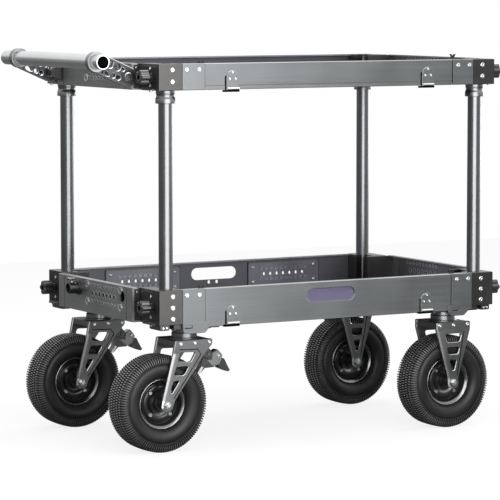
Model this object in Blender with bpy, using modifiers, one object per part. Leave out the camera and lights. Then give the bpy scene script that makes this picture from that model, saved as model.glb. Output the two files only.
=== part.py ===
"""Camera cart: two open trays on four tube uprights, a push handle and four pneumatic casters.

Metres, +Z up. -X is the handle end, +X the nose, -Y the right side for whoever pushes it.
Everything is first placed about the middle of the trays, with the floor at z = 0. An empty then
carries the whole cart along X, so that the frame's origin lies under the middle of its full length.
"""

import math

import bmesh
import bpy
from mathutils import Matrix

# Fits, and how far a cutter passes what it cuts or a mesh reaches into what it is joined to
GAP = 0.0003
SLIP = 0.0004
CUT_PAST = 0.02
OVERLAP = 0.004
WELD = 0.000005

# Tyres and rims
TYRE_RADIUS = 0.127
TYRE_HALF_WIDTH = 0.0425
TYRE_WALL = 0.007
TYRE_LIP_CLEARANCE = 0.001
SIDEWALL_START = 0.010
TREAD_HALF_WIDTH = 0.035
SHOULDER_DROP = 0.014
WHEEL_STEPS = 24
RIM_RADIUS = 0.0595
RIM_LIP_RADIUS = 0.0645
RIM_LIP_Y = 0.026
RIM_BEAD_Y = 0.0225
RIM_DISC_Y = 0.012
RIM_HUB_RADIUS = 0.017
RIM_WALL = 0.006

# A tyre stands on one of its flats, not on an edge between two of them
AXLE_Z = TYRE_RADIUS * math.cos(math.pi / WHEEL_STEPS)
AXLE_RADIUS = 0.008
AXLE_NUT_RADIUS = 0.0125
AXLE_NUT_LENGTH = 0.007

# Casters
CASTER_Y = 0.247
SWIVEL_X = 0.397
TRAIL = 0.078
LEG_THICKNESS = 0.010
LEG_CLEARANCE = 0.0025
FOOT_RADIUS = 0.0175
FORK_TOP_Z = 0.290
FORK_PLATE_THICKNESS = 0.017
FORK_PLATE_HALF_LENGTH = 0.0535
FORK_PLATE_INSET = 0.001
FORK_HUB_RADIUS = 0.039
FORK_HUB_HEIGHT = 0.015
KINGPIN_RADIUS = 0.010
KINGPIN_REACH = 0.024
MOUNT_BOSS_RADIUS = 0.031
MOUNT_PLATE_THICKNESS = 0.013
MOUNT_HALF_LENGTH = 0.066
MOUNT_INNER_REACH = 0.050
MOUNT_SKIRT_CLEARANCE = 0.002

# Foot brake, in front of each swivel fork
BRAKE_PIVOT_DX = 0.062
BRAKE_PIVOT_Z = 0.245
BRAKE_PIN_RADIUS = 0.004
BRAKE_EAR_THICKNESS = 0.005
BRAKE_LEVER_HALF_WIDTH = 0.0125
BRAKE_EAR_RADIUS = 0.012
BRAKE_EYE_RADIUS = 0.0105
BRAKE_ROOT_NEAR_X = 0.034
BRAKE_ROOT_FAR_X = 0.053
BRAKE_ROOT_DEPTH = 0.007
BRAKE_ROOT_OVERLAP = 0.001

# Uprights
POST_X = 0.470
POST_Y = 0.285
POST_RADIUS = 0.018
POST_WALL = 0.0025
POST_STEPS = 16
COLLAR_HEIGHT = 0.033
COLLAR_TOP_RADIUS = 0.0245
COLLAR_WAIST_RADIUS = 0.0215
COLLAR_LOW_RADIUS = 0.0255
COLLAR_WAIST_DROP = 0.42
COLLAR_BAND_DROP = 0.62
SOCKET_FLOOR = 0.010
POST_CAP = 0.008
POST_END_CLEARANCE = 0.002

# Trays
LOWER_BOTTOM = 0.3335
LOWER_HEIGHT = 0.089
TRAY_SPACING = 0.506
UPPER_HEIGHT = 0.0675
BLOCK_OUT = 0.038
BLOCK_IN = 0.028
BLOCK_LEDGE_REACH = 0.010
BLOCK_LEDGE_HEIGHT = 0.005
BLOCK_LEDGE_Y = 0.020
END_PANEL_HALF = 0.216
END_PANEL_PROUD = 0.022
END_PANEL_WEB = 0.005
END_CHEEK = 0.008
END_CHEEK_INSET = 0.0007
RAIL_SET_BACK = 0.002
RAIL_WEB = 0.005
LIP_WIDTH = 0.016
LIP_THICKNESS = 0.004
FLANGE_WIDTH = 0.026
FLANGE_THICKNESS = 0.004
RAIL_DROP = 0.010
RAIL_DROP_THICKNESS = 0.0035
DECK_THICKNESS = 0.004
DECK_CLEARANCE = 0.0005

# What the rails and panels carry
SEAM_X = 0.376
END_PLATE_THICKNESS = 0.005
END_PLATE_INSET = 0.0007
SKIRT_DROP = 0.0245
SKIRT_CHAMFER = 0.011
BRACKET_X = 0.296
BRACKET_WIDTH = 0.036
BRACKET_PROUD = 0.0025
BRACKET_BAR_PROUD = 0.0035
BRACKET_TOP_UPPER = 0.049
BRACKET_TOP_LOWER = 0.042
BRACKET_DROP_UPPER = 0.006
BRACKET_DROP_LOWER = 0.0125
BRACKET_BAR_HEIGHT = 0.006
HAND_SLOT_LENGTH = 0.144
HAND_SLOT_HEIGHT = 0.034
HAND_SLOT_TOP_MARGIN = 0.018
CHEESE_INNER_X = 0.110
CHEESE_OUTER_X = 0.340
CHEESE_THICKNESS = 0.0025
CHEESE_LOW = 0.013
CHEESE_HIGH = 0.076
CHEESE_HOLE_RADIUS = 0.005
CHEESE_HOLE_COUNT = 7
CHEESE_HOLE_PITCH = 0.0209
CHEESE_HOLE_Z = 0.0445
PANEL_PATTERN_Y = -0.049
PANEL_PATTERN_RISE = 0.61
PANEL_PORT_RADIUS = 0.0125
PANEL_PORT_Y = -0.157
PANEL_PORT_Z = 0.061

# Pipe socket on the lower handle-end panel
SOCKET_Y = 0.097
SOCKET_RADIUS = 0.015
SOCKET_BORE = 0.0115
SOCKET_LENGTH = 0.031
SOCKET_FLANGE_RADIUS = 0.019
SOCKET_FLANGE = 0.005

# Star knobs that clamp the uprights
KNOB_RADIUS = 0.0195
KNOB_VALLEY_RADIUS = 0.0150
KNOB_LOBES = 5
KNOB_LOBE_SPREAD = 0.35
KNOB_HEAD = 0.026
KNOB_NECK = 0.012
KNOB_NECK_RADIUS = 0.009
KNOB_STEM_RADIUS = 0.004

# Handle
HANDLE_TUBE_RADIUS = 0.019
HANDLE_TUBE_WALL = 0.003
HANDLE_STEPS = 16
HANDLE_REACH = 0.089
HANDLE_RISE = 0.0385
HANDLE_ARM_CLEARANCE = 0.005
HANDLE_ARM_THICKNESS = 0.012
HANDLE_RING_RADIUS = 0.026
HANDLE_RING_THICKNESS = 0.016
HANDLE_WEB_INSET = 0.0005
HANDLE_EYE_RADIUS = 0.026
HANDLE_EYE_WALL = 0.010
HANDLE_RIB = 0.003
HANDLE_STUB_RIGHT = 0.043
HANDLE_STUB_LEFT = 0.075
HANDLE_PIVOT_OUT = 0.019
HANDLE_PIN_RADIUS = 0.006
HANDLE_PIN_HEAD_RADIUS = 0.011
HANDLE_PIN_HEAD = 0.004
HANDLE_BRACKET_LENGTH = 0.032
HANDLE_BRACKET_HALF_HEIGHT = 0.022
HANDLE_BRACKET_NOSE = 0.014

# Worked out from the sizes above
LOWER_TOP = LOWER_BOTTOM + LOWER_HEIGHT
UPPER_BOTTOM = LOWER_TOP + TRAY_SPACING
BLOCK_END_X = POST_X + BLOCK_OUT
BLOCK_INNER_X = POST_X - BLOCK_IN
SIDE_Y = POST_Y + BLOCK_OUT
BLOCK_INNER_Y = END_PANEL_HALF + GAP
PANEL_X = BLOCK_END_X + END_PANEL_PROUD
RAIL_HALF = BLOCK_INNER_X - GAP
LEG_INNER_Y = TYRE_HALF_WIDTH + LEG_CLEARANCE
LEG_OUTER_Y = LEG_INNER_Y + LEG_THICKNESS
FORK_PLATE_Z = FORK_TOP_Z - FORK_PLATE_THICKNESS
FORK_HUB_TOP = FORK_TOP_Z + FORK_HUB_HEIGHT
BORE_RADIUS = POST_RADIUS + SLIP
HANDLE_ARM_Y = END_PANEL_HALF + HANDLE_ARM_CLEARANCE + HANDLE_ARM_THICKNESS / 2
HANDLE_PIVOT_X = -(PANEL_X + HANDLE_PIVOT_OUT)
HANDLE_PIVOT_Z = UPPER_BOTTOM + UPPER_HEIGHT / 2
REAR_REACH = -HANDLE_PIVOT_X + HANDLE_REACH + HANDLE_RING_RADIUS
NOSE_REACH = BLOCK_END_X + GAP + KNOB_NECK + KNOB_HEAD
ORIGIN_SHIFT = (REAR_REACH - NOSE_REACH) / 2

# Turns a flat outline drawn in X and Y to stand square to an axis
STANDS = {
    "X": Matrix(((0, 0, 1, 0), (1, 0, 0, 0), (0, 1, 0, 0), (0, 0, 0, 1))),
    "Y": Matrix.Rotation(math.pi / 2, 4, "X"),
    "Z": Matrix(),
}

# A turned profile's axis is Z until it is laid along X or Y
ALONG_X = Matrix.Rotation(math.pi / 2, 4, "Y")
ALONG_Y = Matrix.Rotation(math.pi / 2, 4, "X")

MATERIALS = {
    "rail": ((0.150, 0.155, 0.160), 0.42, 0.85),
    "block": ((0.035, 0.034, 0.034), 0.40, 0.60),
    "deck": ((0.125, 0.105, 0.185), 0.85, 0.0),
    "post": ((0.290, 0.295, 0.300), 0.25, 1.0),
    "knob": ((0.012, 0.012, 0.013), 0.45, 0.0),
    "fork": ((0.110, 0.114, 0.116), 0.45, 0.75),
    "axle": ((0.560, 0.565, 0.570), 0.30, 1.0),
    "rim": ((0.012, 0.012, 0.013), 0.28, 0.30),
    "tyre": ((0.014, 0.014, 0.015), 0.60, 0.0),
    "handle": ((0.300, 0.310, 0.315), 0.35, 1.0),
}


def clear_scene():
    for thing in list(bpy.data.objects):
        bpy.data.objects.remove(thing, do_unlink=True)


def circle(radius, count, centre=(0, 0), first=0.0):
    """Points round a circle, as many as asked for."""
    points = []
    for step in range(count):
        angle = first + 2 * math.pi * step / count
        points.append((centre[0] + radius * math.cos(angle), centre[1] + radius * math.sin(angle)))
    return points


def arc(radius, centre, start, end, count):
    """Points along an arc, both of its ends among them."""
    points = []
    for step in range(count + 1):
        angle = start + (end - start) * step / count
        points.append((centre[0] + radius * math.cos(angle), centre[1] + radius * math.sin(angle)))
    return points


def welded(mesh):
    """The mesh with its doubled points merged and its faces pointing out."""
    work = bmesh.new()
    work.from_mesh(mesh)
    bmesh.ops.remove_doubles(work, verts=work.verts, dist=WELD)
    bmesh.ops.recalc_face_normals(work, faces=work.faces)
    work.to_mesh(mesh)
    work.free()
    return mesh


def evaluated(thing):
    """A plain mesh of what an object's curve or modifiers make, and the object is taken away."""
    depsgraph = bpy.context.evaluated_depsgraph_get()
    mesh = bpy.data.meshes.new_from_object(thing.evaluated_get(depsgraph))
    bpy.data.objects.remove(thing, do_unlink=True)
    return mesh


def running(radius, sides):
    """The radius of a faceted hole in which a shaft of the given radius can turn."""
    return (radius + SLIP) / math.cos(math.pi / sides)


def placed(mesh, *steps):
    for step in steps:
        mesh.transform(step)
    return mesh


def moved(x=0.0, y=0.0, z=0.0):
    return Matrix.Translation((x, y, z))


def plate(outlines, axis, low, high):
    """A flat outline, with any holes after it, that reaches from low to high along an axis."""
    curve = bpy.data.curves.new("outline", "CURVE")
    curve.dimensions = "2D"
    curve.fill_mode = "BOTH"
    curve.extrude = (high - low) / 2
    for outline in outlines:
        spline = curve.splines.new("POLY")
        spline.points.add(len(outline) - 1)
        for point, place in zip(spline.points, outline):
            point.co = (place[0], place[1], 0, 1)
        spline.use_cyclic_u = True
    holder = bpy.data.objects.new("outline", curve)
    bpy.context.scene.collection.objects.link(holder)
    mesh = welded(evaluated(holder))
    bpy.data.curves.remove(curve)
    middle = (low + high) / 2
    shift = {"X": moved(x=middle), "Y": moved(y=middle), "Z": moved(z=middle)}[axis]
    return placed(mesh, STANDS[axis], shift)


def box(low, high):
    work = bmesh.new()
    bmesh.ops.create_cube(work, size=1)
    mesh = bpy.data.meshes.new("box")
    work.to_mesh(mesh)
    work.free()
    size = [b - a for a, b in zip(low, high)]
    middle = [(a + b) / 2 for a, b in zip(low, high)]
    return placed(mesh, Matrix.Diagonal((*size, 1)), moved(*middle))


def turned(profile, steps, closed, stand=Matrix(), first=0.0):
    """A profile of (radius, height) points turned about Z, then laid along another axis."""
    mesh = bpy.data.meshes.new("profile")
    edges = [(i, i + 1) for i in range(len(profile) - 1)]
    if closed:
        edges.append((len(profile) - 1, 0))
    mesh.from_pydata([(radius, 0, height) for radius, height in profile], edges, [])
    holder = bpy.data.objects.new("profile", mesh)
    bpy.context.scene.collection.objects.link(holder)
    screw = holder.modifiers.new("turn", "SCREW")
    screw.steps = steps
    screw.render_steps = steps
    screw.use_merge_vertices = True
    screw.merge_threshold = 0.00001
    return placed(welded(evaluated(holder)), Matrix.Rotation(first, 4, "Z"), stand)


def rod(radius, low, high, steps, stand=Matrix(), first=0.0):
    return turned([(0, high), (radius, high), (radius, low), (0, low)], steps, False, stand, first)


def combined(base, additions=(), cuts=()):
    """The base mesh joined with some meshes and cut by others."""
    holder = bpy.data.objects.new("base", base)
    bpy.context.scene.collection.objects.link(holder)
    tools = []
    for operation, meshes in (("UNION", additions), ("DIFFERENCE", cuts)):
        for mesh in meshes:
            tool = bpy.data.objects.new("tool", mesh)
            bpy.context.scene.collection.objects.link(tool)
            tool.hide_render = True
            tool.display_type = "WIRE"
            step = holder.modifiers.new(operation, "BOOLEAN")
            step.operation = operation
            step.solver = "EXACT"
            step.object = tool
            tools.append(tool)
    mesh = evaluated(holder)
    for tool in tools:
        bpy.data.objects.remove(tool, do_unlink=True)
    return welded(mesh)


def mirrored(mesh, x_sign, y_sign):
    """A copy for another corner or side of the cart."""
    copy = mesh.copy()
    copy.transform(Matrix.Diagonal((x_sign, y_sign, 1, 1)))
    if x_sign * y_sign < 0:
        copy.flip_normals()
    return copy


def end_name(x_sign):
    return "front" if x_sign > 0 else "rear"


def side_name(y_sign):
    return "left" if y_sign > 0 else "right"


class Cart:
    """The collection of finished pieces, their materials and the empty that carries them."""

    def __init__(self):
        self.collection = bpy.data.collections.new("camera_cart")
        bpy.context.scene.collection.children.link(self.collection)
        self.carrier = bpy.data.objects.new("cart_origin", None)
        self.carrier.location.x = ORIGIN_SHIFT
        self.collection.objects.link(self.carrier)
        self.materials = {}
        for name, (colour, roughness, metallic) in MATERIALS.items():
            material = bpy.data.materials.new(name)
            material.use_nodes = True
            shader = material.node_tree.nodes["Principled BSDF"]
            shader.inputs["Base Color"].default_value = (*colour, 1)
            shader.inputs["Roughness"].default_value = roughness
            shader.inputs["Metallic"].default_value = metallic
            self.materials[name] = material

    def add(self, name, mesh, location, material):
        mesh.name = name
        mesh.shade_smooth()
        mesh.set_sharp_from_angle(angle=math.radians(35))
        mesh.materials.clear()
        mesh.materials.append(self.materials[material])
        piece = bpy.data.objects.new(name, mesh)
        piece.location = location
        piece.parent = self.carrier
        self.collection.objects.link(piece)


def stadium(length, height, centre, steps):
    """A slot with round ends, drawn flat."""
    radius = height / 2
    straight = length / 2 - radius
    right = arc(radius, (centre[0] + straight, centre[1]), -math.pi / 2, math.pi / 2, steps)
    left = arc(radius, (centre[0] - straight, centre[1]), math.pi / 2, 3 * math.pi / 2, steps)
    return right + left


def channel(height, out, depth_web, lip, flange, drop=0):
    """The outline of a channel, its face at `out` and its lip and flange reaching inwards.

    A drop lets the face reach that far below the flange, with a thinner edge.
    """
    inner = out - depth_web
    outline = [(out, -drop), (out, height)]
    outline += [
        (out - lip, height),
        (out - lip, height - LIP_THICKNESS),
        (inner, height - LIP_THICKNESS),
        (inner, FLANGE_THICKNESS),
        (out - flange, FLANGE_THICKNESS),
        (out - flange, 0),
    ]
    if drop:
        outline += [(out - RAIL_DROP_THICKNESS, 0), (out - RAIL_DROP_THICKNESS, -drop)]
    return outline


def end_plate(height, drop):
    """The plate beside a corner block. On the lower tray it drops to cover the caster's mount."""
    end = RAIL_HALF - END_PLATE_INSET
    if drop:
        reach = SEAM_X - SKIRT_CHAMFER
        foot = FLANGE_THICKNESS
        outline = [(end, -drop), (SEAM_X, -drop), (reach, SKIRT_CHAMFER - drop)]
        outline += [(reach, foot), (SEAM_X, foot)]
    else:
        outline = [(end, END_PLATE_INSET), (SEAM_X, END_PLATE_INSET)]
    outline += [(SEAM_X, height - END_PLATE_INSET), (end, height - END_PLATE_INSET)]
    return plate([outline], "Y", -END_PLATE_THICKNESS, 0)


def strap_bracket(top, drop):
    """A round-topped bracket on the rail's face, with a bar along its foot."""
    half = BRACKET_WIDTH / 2
    head = arc(half, (0, top - half), 0, math.pi, 6)
    outline = [(half, -drop)] + head + [(-half, -drop)]
    face = plate([outline], "Y", -END_PLATE_THICKNESS / 2, BRACKET_PROUD)
    bar_low = (-half, -RAIL_SET_BACK - RAIL_WEB / 2, -drop)
    bar_high = (half, BRACKET_BAR_PROUD, -drop + BRACKET_BAR_HEIGHT)
    return combined(face, additions=[box(bar_low, bar_high)])


def rail(height, lower, pierced):
    """A long side rail for the +Y side. Its origin is on its outer face, at its lower edge."""
    face_drop = RAIL_DROP if lower else 0
    profile = channel(height, -RAIL_SET_BACK, RAIL_WEB, LIP_WIDTH, FLANGE_WIDTH, face_drop)
    base = plate([profile], "X", -RAIL_HALF, RAIL_HALF)
    drop = SKIRT_DROP if lower else 0
    bracket_top = BRACKET_TOP_LOWER if lower else BRACKET_TOP_UPPER
    bracket_drop = BRACKET_DROP_LOWER if lower else BRACKET_DROP_UPPER
    additions = []
    brackets = []
    for sign in (-1, 1):
        additions.append(mirrored(end_plate(height, drop), sign, 1))
        brackets.append(placed(strap_bracket(bracket_top, bracket_drop), moved(x=sign * BRACKET_X)))
    cuts = []
    if lower:
        inner = -RAIL_SET_BACK - RAIL_WEB
        slot_z = height - HAND_SLOT_TOP_MARGIN - HAND_SLOT_HEIGHT / 2
        slot = stadium(HAND_SLOT_LENGTH, HAND_SLOT_HEIGHT, (0, slot_z), 6)
        cuts.append(plate([slot], "Y", -CUT_PAST, CUT_PAST))
        for sign in (-1, 1):
            near, far = sorted((sign * CHEESE_INNER_X, sign * CHEESE_OUTER_X))
            low = (near, inner - CHEESE_THICKNESS, CHEESE_LOW)
            high = (far, inner + RAIL_WEB / 2, CHEESE_HIGH)
            additions.append(box(low, high))
            middle = sign * (CHEESE_INNER_X + CHEESE_OUTER_X) / 2
            for step in range(CHEESE_HOLE_COUNT if pierced else 0):
                x = middle + (step - (CHEESE_HOLE_COUNT - 1) / 2) * CHEESE_HOLE_PITCH
                hole = circle(CHEESE_HOLE_RADIUS, 6, (x, CHEESE_HOLE_Z))
                cuts.append(plate([hole], "Y", -CUT_PAST, CUT_PAST))
    return combined(combined(base, additions, cuts), brackets)


def end_panel(height):
    """The end panel for the +X end. Its origin is on its outer face, at its lower edge."""
    profile = channel(height, 0, END_PANEL_WEB, LIP_WIDTH, FLANGE_WIDTH)
    base = plate([profile], "Y", -END_PANEL_HALF, END_PANEL_HALF)
    additions = []
    inner_x = BLOCK_INNER_X - PANEL_X
    for sign in (-1, 1):
        near, far = sorted((sign * (END_PANEL_HALF - END_CHEEK_INSET), sign * (END_PANEL_HALF - END_CHEEK)))
        low = (inner_x, near, END_CHEEK_INSET)
        high = (-END_CHEEK_INSET, far, height - END_CHEEK_INSET)
        additions.append(box(low, high))
    scale = height / LOWER_HEIGHT
    holes = [circle(PANEL_PORT_RADIUS, 10, (-PANEL_PORT_Y, PANEL_PORT_Z * scale))]
    holes.append(circle(PANEL_PORT_RADIUS, 10, (-SOCKET_Y, PANEL_PORT_Z * scale)))
    for step in range(CHEESE_HOLE_COUNT):
        y = -PANEL_PATTERN_Y + (step - (CHEESE_HOLE_COUNT - 1) / 2) * CHEESE_HOLE_PITCH
        holes.append(circle(CHEESE_HOLE_RADIUS, 6, (y, height * PANEL_PATTERN_RISE)))
    cuts = [plate([hole], "X", -CUT_PAST, CUT_PAST) for hole in holes]
    return combined(base, additions, cuts)


def corner_block(height, lower):
    """A corner block for the front left corner, about its post's centre and on its lower face."""
    inner_y = BLOCK_INNER_Y - POST_Y
    base = box((-BLOCK_IN, inner_y, 0), (BLOCK_OUT, BLOCK_OUT, height))
    ledge = box((0, -BLOCK_OUT, 0), (BLOCK_OUT + BLOCK_LEDGE_REACH, BLOCK_LEDGE_Y, BLOCK_LEDGE_HEIGHT))
    if lower:
        bore = rod(BORE_RADIUS, SOCKET_FLOOR, height + CUT_PAST, POST_STEPS)
    else:
        bore = rod(BORE_RADIUS, -CUT_PAST, height - POST_CAP, POST_STEPS)
    screw_way = rod(running(KNOB_STEM_RADIUS, 8), 0, BLOCK_OUT + CUT_PAST, 8, ALONG_X)
    return combined(base, [ledge], [bore, placed(screw_way, moved(z=height / 2))])


def deck():
    """The sheet that lies on the flanges inside the lips, notched round the corner blocks."""
    side = SIDE_Y - RAIL_SET_BACK - LIP_WIDTH - DECK_CLEARANCE
    end = PANEL_X - LIP_WIDTH - DECK_CLEARANCE
    notch_x = BLOCK_INNER_X - DECK_CLEARANCE
    notch_y = END_PANEL_HALF - END_CHEEK - DECK_CLEARANCE
    quarter = [(end, notch_y), (notch_x, notch_y), (notch_x, side)]
    outline = list(quarter)
    outline += [(-x, y) for x, y in reversed(quarter)]
    outline += [(-x, -y) for x, y in quarter]
    outline += [(x, -y) for x, y in reversed(quarter)]
    return plate([outline], "Z", 0, DECK_THICKNESS)


def post():
    """An upright tube with its collar, about its own axis and from its lower end."""
    base = LOWER_BOTTOM + SOCKET_FLOOR + GAP
    top = UPPER_BOTTOM + UPPER_HEIGHT - POST_CAP - POST_END_CLEARANCE - base
    collar = UPPER_BOTTOM - GAP - base
    inner = POST_RADIUS - POST_WALL
    profile = [
        (POST_RADIUS, top),
        (POST_RADIUS, collar),
        (COLLAR_TOP_RADIUS, collar),
        (COLLAR_WAIST_RADIUS, collar - COLLAR_HEIGHT * COLLAR_WAIST_DROP),
        (COLLAR_LOW_RADIUS, collar - COLLAR_HEIGHT * COLLAR_BAND_DROP),
        (COLLAR_LOW_RADIUS, collar - COLLAR_HEIGHT),
        (POST_RADIUS, collar - COLLAR_HEIGHT),
        (POST_RADIUS, 0),
        (inner, 0),
        (inner, top),
    ]
    return turned(profile, POST_STEPS, True)


def star_knob():
    """A clamp knob that points to +X, its seat at the block's end face and its stem inside."""
    head_start = GAP + KNOB_NECK
    outline = []
    spots = ((-KNOB_LOBE_SPREAD, KNOB_RADIUS), (KNOB_LOBE_SPREAD, KNOB_RADIUS), (1, KNOB_VALLEY_RADIUS))
    for lobe in range(KNOB_LOBES):
        middle = 2 * math.pi * lobe / KNOB_LOBES
        spread = math.pi / KNOB_LOBES
        for offset, radius in spots:
            angle = middle + offset * spread
            outline.append((radius * math.cos(angle), radius * math.sin(angle)))
    head = plate([outline], "X", head_start, head_start + KNOB_HEAD)
    stem_end = -(BLOCK_OUT - BORE_RADIUS - GAP)
    profile = [
        (0, head_start + OVERLAP),
        (KNOB_NECK_RADIUS, head_start + OVERLAP),
        (KNOB_NECK_RADIUS, GAP),
        (KNOB_STEM_RADIUS, GAP),
        (KNOB_STEM_RADIUS, stem_end),
        (0, stem_end),
    ]
    return combined(head, additions=[turned(profile, 8, False, ALONG_X)])


def leg_outline(top_left, top_right, knees):
    """A fork leg drawn about the axle: its top edge, its knees and its round foot."""
    foot = arc(FOOT_RADIUS, (0, AXLE_Z), math.radians(-20), math.radians(-160), 5)
    left_knees, right_knees = knees
    return [top_left, top_right] + right_knees + foot + left_knees


def fork(swivel):
    """A caster fork about its hub's axis, from the floor. A swivel fork trails towards -X."""
    trail = TRAIL if swivel else 0
    plate_half = FORK_PLATE_HALF_LENGTH
    if swivel:
        left = trail - plate_half
        right = trail + plate_half
        knees = (
            [(-0.0135, 0.137), (0.018, 0.2565)],
            [(right, 0.277), (0.107, 0.250), (0.023, 0.137)],
        )
        windows = [
            [(0.036, 0.259), (0.083, 0.258), (0.069, 0.233), (0.031, 0.237)],
            [(0.027, 0.223), (0.063, 0.223), (0.049, 0.200), (0.020, 0.201)],
            [(0.018, 0.187), (0.0365, 0.187), (0.0145, 0.155), (0.0085, 0.156)],
        ]
    else:
        left = -plate_half
        right = plate_half
        knees = ([(-0.0165, 0.137), (left, 0.268)], [(right, 0.268), (0.0165, 0.137)])
        windows = [
            [(-0.026, 0.258), (0.026, 0.258), (0.020, 0.235), (-0.020, 0.235)],
            [(-0.020, 0.222), (0.020, 0.222), (0.0155, 0.202), (-0.0155, 0.202)],
            [(-0.0115, 0.188), (0.0115, 0.188), (0.004, 0.158), (-0.004, 0.158)],
        ]
    outline = leg_outline((left, FORK_TOP_Z), (right, FORK_TOP_Z), knees)
    axle_hole = circle(AXLE_RADIUS + SLIP, 8, (0, AXLE_Z))
    additions = []
    for sign in (-1, 1):
        near, far = sorted((sign * LEG_INNER_Y, sign * LEG_OUTER_Y))
        leg = plate([outline, axle_hole] + windows, "Y", near, far)
        additions.append(placed(leg, moved(x=-trail)))
    inset = plate_half - FORK_PLATE_INSET
    low = (-inset, -LEG_INNER_Y - LEG_THICKNESS / 4, FORK_PLATE_Z)
    high = (inset, LEG_INNER_Y + LEG_THICKNESS / 4, FORK_TOP_Z - FORK_PLATE_INSET)
    hub = rod(FORK_HUB_RADIUS, FORK_TOP_Z - OVERLAP, FORK_HUB_TOP, 16)
    pin_way = rod(running(KINGPIN_RADIUS, 8), FORK_PLATE_Z - CUT_PAST, FORK_HUB_TOP + CUT_PAST, 8)
    return combined(box(low, high), additions + [hub], [pin_way])


def caster_mount():
    """The plate and boss under the tray for a left caster, about the hub's axis from the floor."""
    top = LOWER_BOTTOM - GAP
    outer_reach = SIDE_Y - END_PLATE_THICKNESS - GAP - CASTER_Y - MOUNT_SKIRT_CLEARANCE
    low = (-MOUNT_HALF_LENGTH, -MOUNT_INNER_REACH, top - MOUNT_PLATE_THICKNESS)
    high = (MOUNT_HALF_LENGTH, outer_reach, top)
    seat = FORK_HUB_TOP + GAP
    boss = [
        (0, top - OVERLAP),
        (MOUNT_BOSS_RADIUS, top - OVERLAP),
        (MOUNT_BOSS_RADIUS, seat),
        (KINGPIN_RADIUS, seat),
        (KINGPIN_RADIUS, seat - KINGPIN_REACH),
        (0, seat - KINGPIN_REACH),
    ]
    return combined(box(low, high), [turned(boss, 8, False)])


def axle():
    """The axle with a nut outside each leg, about its own centre and along Y."""
    nut_start = LEG_OUTER_Y + GAP
    end = nut_start + AXLE_NUT_LENGTH
    profile = [
        (0, end),
        (AXLE_NUT_RADIUS, end),
        (AXLE_NUT_RADIUS, nut_start),
        (AXLE_RADIUS, nut_start),
        (AXLE_RADIUS, -nut_start),
        (AXLE_NUT_RADIUS, -nut_start),
        (AXLE_NUT_RADIUS, -end),
        (0, -end),
    ]
    return turned(profile, 8, False, ALONG_Y)


def rim():
    """The rim with its hub, about the axle's centre and along Y."""
    hub_end = LEG_INNER_Y - SLIP
    bore = running(AXLE_RADIUS, WHEEL_STEPS)
    half = [
        (bore, hub_end),
        (RIM_HUB_RADIUS, hub_end),
        (RIM_HUB_RADIUS, RIM_DISC_Y),
        (RIM_RADIUS - RIM_WALL, RIM_DISC_Y),
        (RIM_LIP_RADIUS, RIM_LIP_Y),
        (RIM_LIP_RADIUS, RIM_BEAD_Y + GAP),
        (RIM_RADIUS, RIM_BEAD_Y + GAP),
    ]
    profile = half + [(radius, -height) for radius, height in reversed(half)]
    return turned(profile, WHEEL_STEPS, True, ALONG_Y, math.pi / WHEEL_STEPS)


def tyre():
    """The tyre as a hollow casing that is open to the rim, about the axle's centre and along Y."""
    bead = RIM_RADIUS + GAP
    outer = [
        (bead, RIM_BEAD_Y),
        (RIM_LIP_RADIUS + TYRE_LIP_CLEARANCE, RIM_BEAD_Y),
        (RIM_LIP_RADIUS + SIDEWALL_START, TYRE_HALF_WIDTH),
        (TYRE_RADIUS - SHOULDER_DROP, TYRE_HALF_WIDTH),
        (TYRE_RADIUS, TREAD_HALF_WIDTH),
    ]
    inner = [
        (TYRE_RADIUS - SHOULDER_DROP, TYRE_HALF_WIDTH - TYRE_WALL),
        (bead, RIM_BEAD_Y - TYRE_WALL),
    ]
    profile = outer + [(radius, -height) for radius, height in reversed(outer)]
    profile += [(radius, -height) for radius, height in reversed(inner)]
    profile += inner
    return turned(profile, WHEEL_STEPS, True, ALONG_Y, math.pi / WHEEL_STEPS)


def brake_bracket():
    """The ears that carry the foot lever, with their pin, about the swivel axis from the floor."""
    top = FORK_PLATE_Z - GAP
    ear_inner = BRAKE_LEVER_HALF_WIDTH + SLIP
    ear_outer = ear_inner + BRAKE_EAR_THICKNESS
    pivot = (BRAKE_PIVOT_DX, BRAKE_PIVOT_Z)
    nose = arc(BRAKE_EAR_RADIUS, pivot, math.radians(60), math.radians(-110), 6)
    ear = [(BRAKE_ROOT_NEAR_X, top), (BRAKE_ROOT_FAR_X, top)] + nose + [(0.046, 0.240)]
    ears = []
    for sign in (-1, 1):
        near, far = sorted((sign * ear_inner, sign * ear_outer))
        ears.append(plate([ear], "Y", near, far))
    root_half = ear_inner + BRAKE_ROOT_OVERLAP
    low = (BRAKE_ROOT_NEAR_X, -root_half, top - BRAKE_ROOT_DEPTH)
    root = box(low, (BRAKE_ROOT_FAR_X, root_half, top))
    pin = placed(rod(BRAKE_PIN_RADIUS, -ear_outer, ear_outer, 8, ALONG_Y), moved(pivot[0], 0, pivot[1]))
    return combined(root, ears + [pin])


def brake_lever():
    """The foot lever about its pivot: an eye, a block with the pedal beyond it, and the shoe."""
    eye = arc(BRAKE_EYE_RADIUS, (0, 0), math.radians(75), math.radians(190), 5)
    shoe = [(-0.0190, -0.0330), (-0.0290, -0.0490), (-0.0215, -0.0510), (-0.0070, -0.0370)]
    block = [(0.0155, -0.0375), (0.0345, -0.0395)]
    pedal = [(0.0630, -0.0515), (0.0690, -0.0480), (0.0510, -0.0130), (0.0380, 0.0080)]
    hole = circle(running(BRAKE_PIN_RADIUS, 8), 8)
    outline = eye + shoe + block + pedal
    return plate([outline, hole], "Y", -BRAKE_LEVER_HALF_WIDTH, BRAKE_LEVER_HALF_WIDTH)


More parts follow.
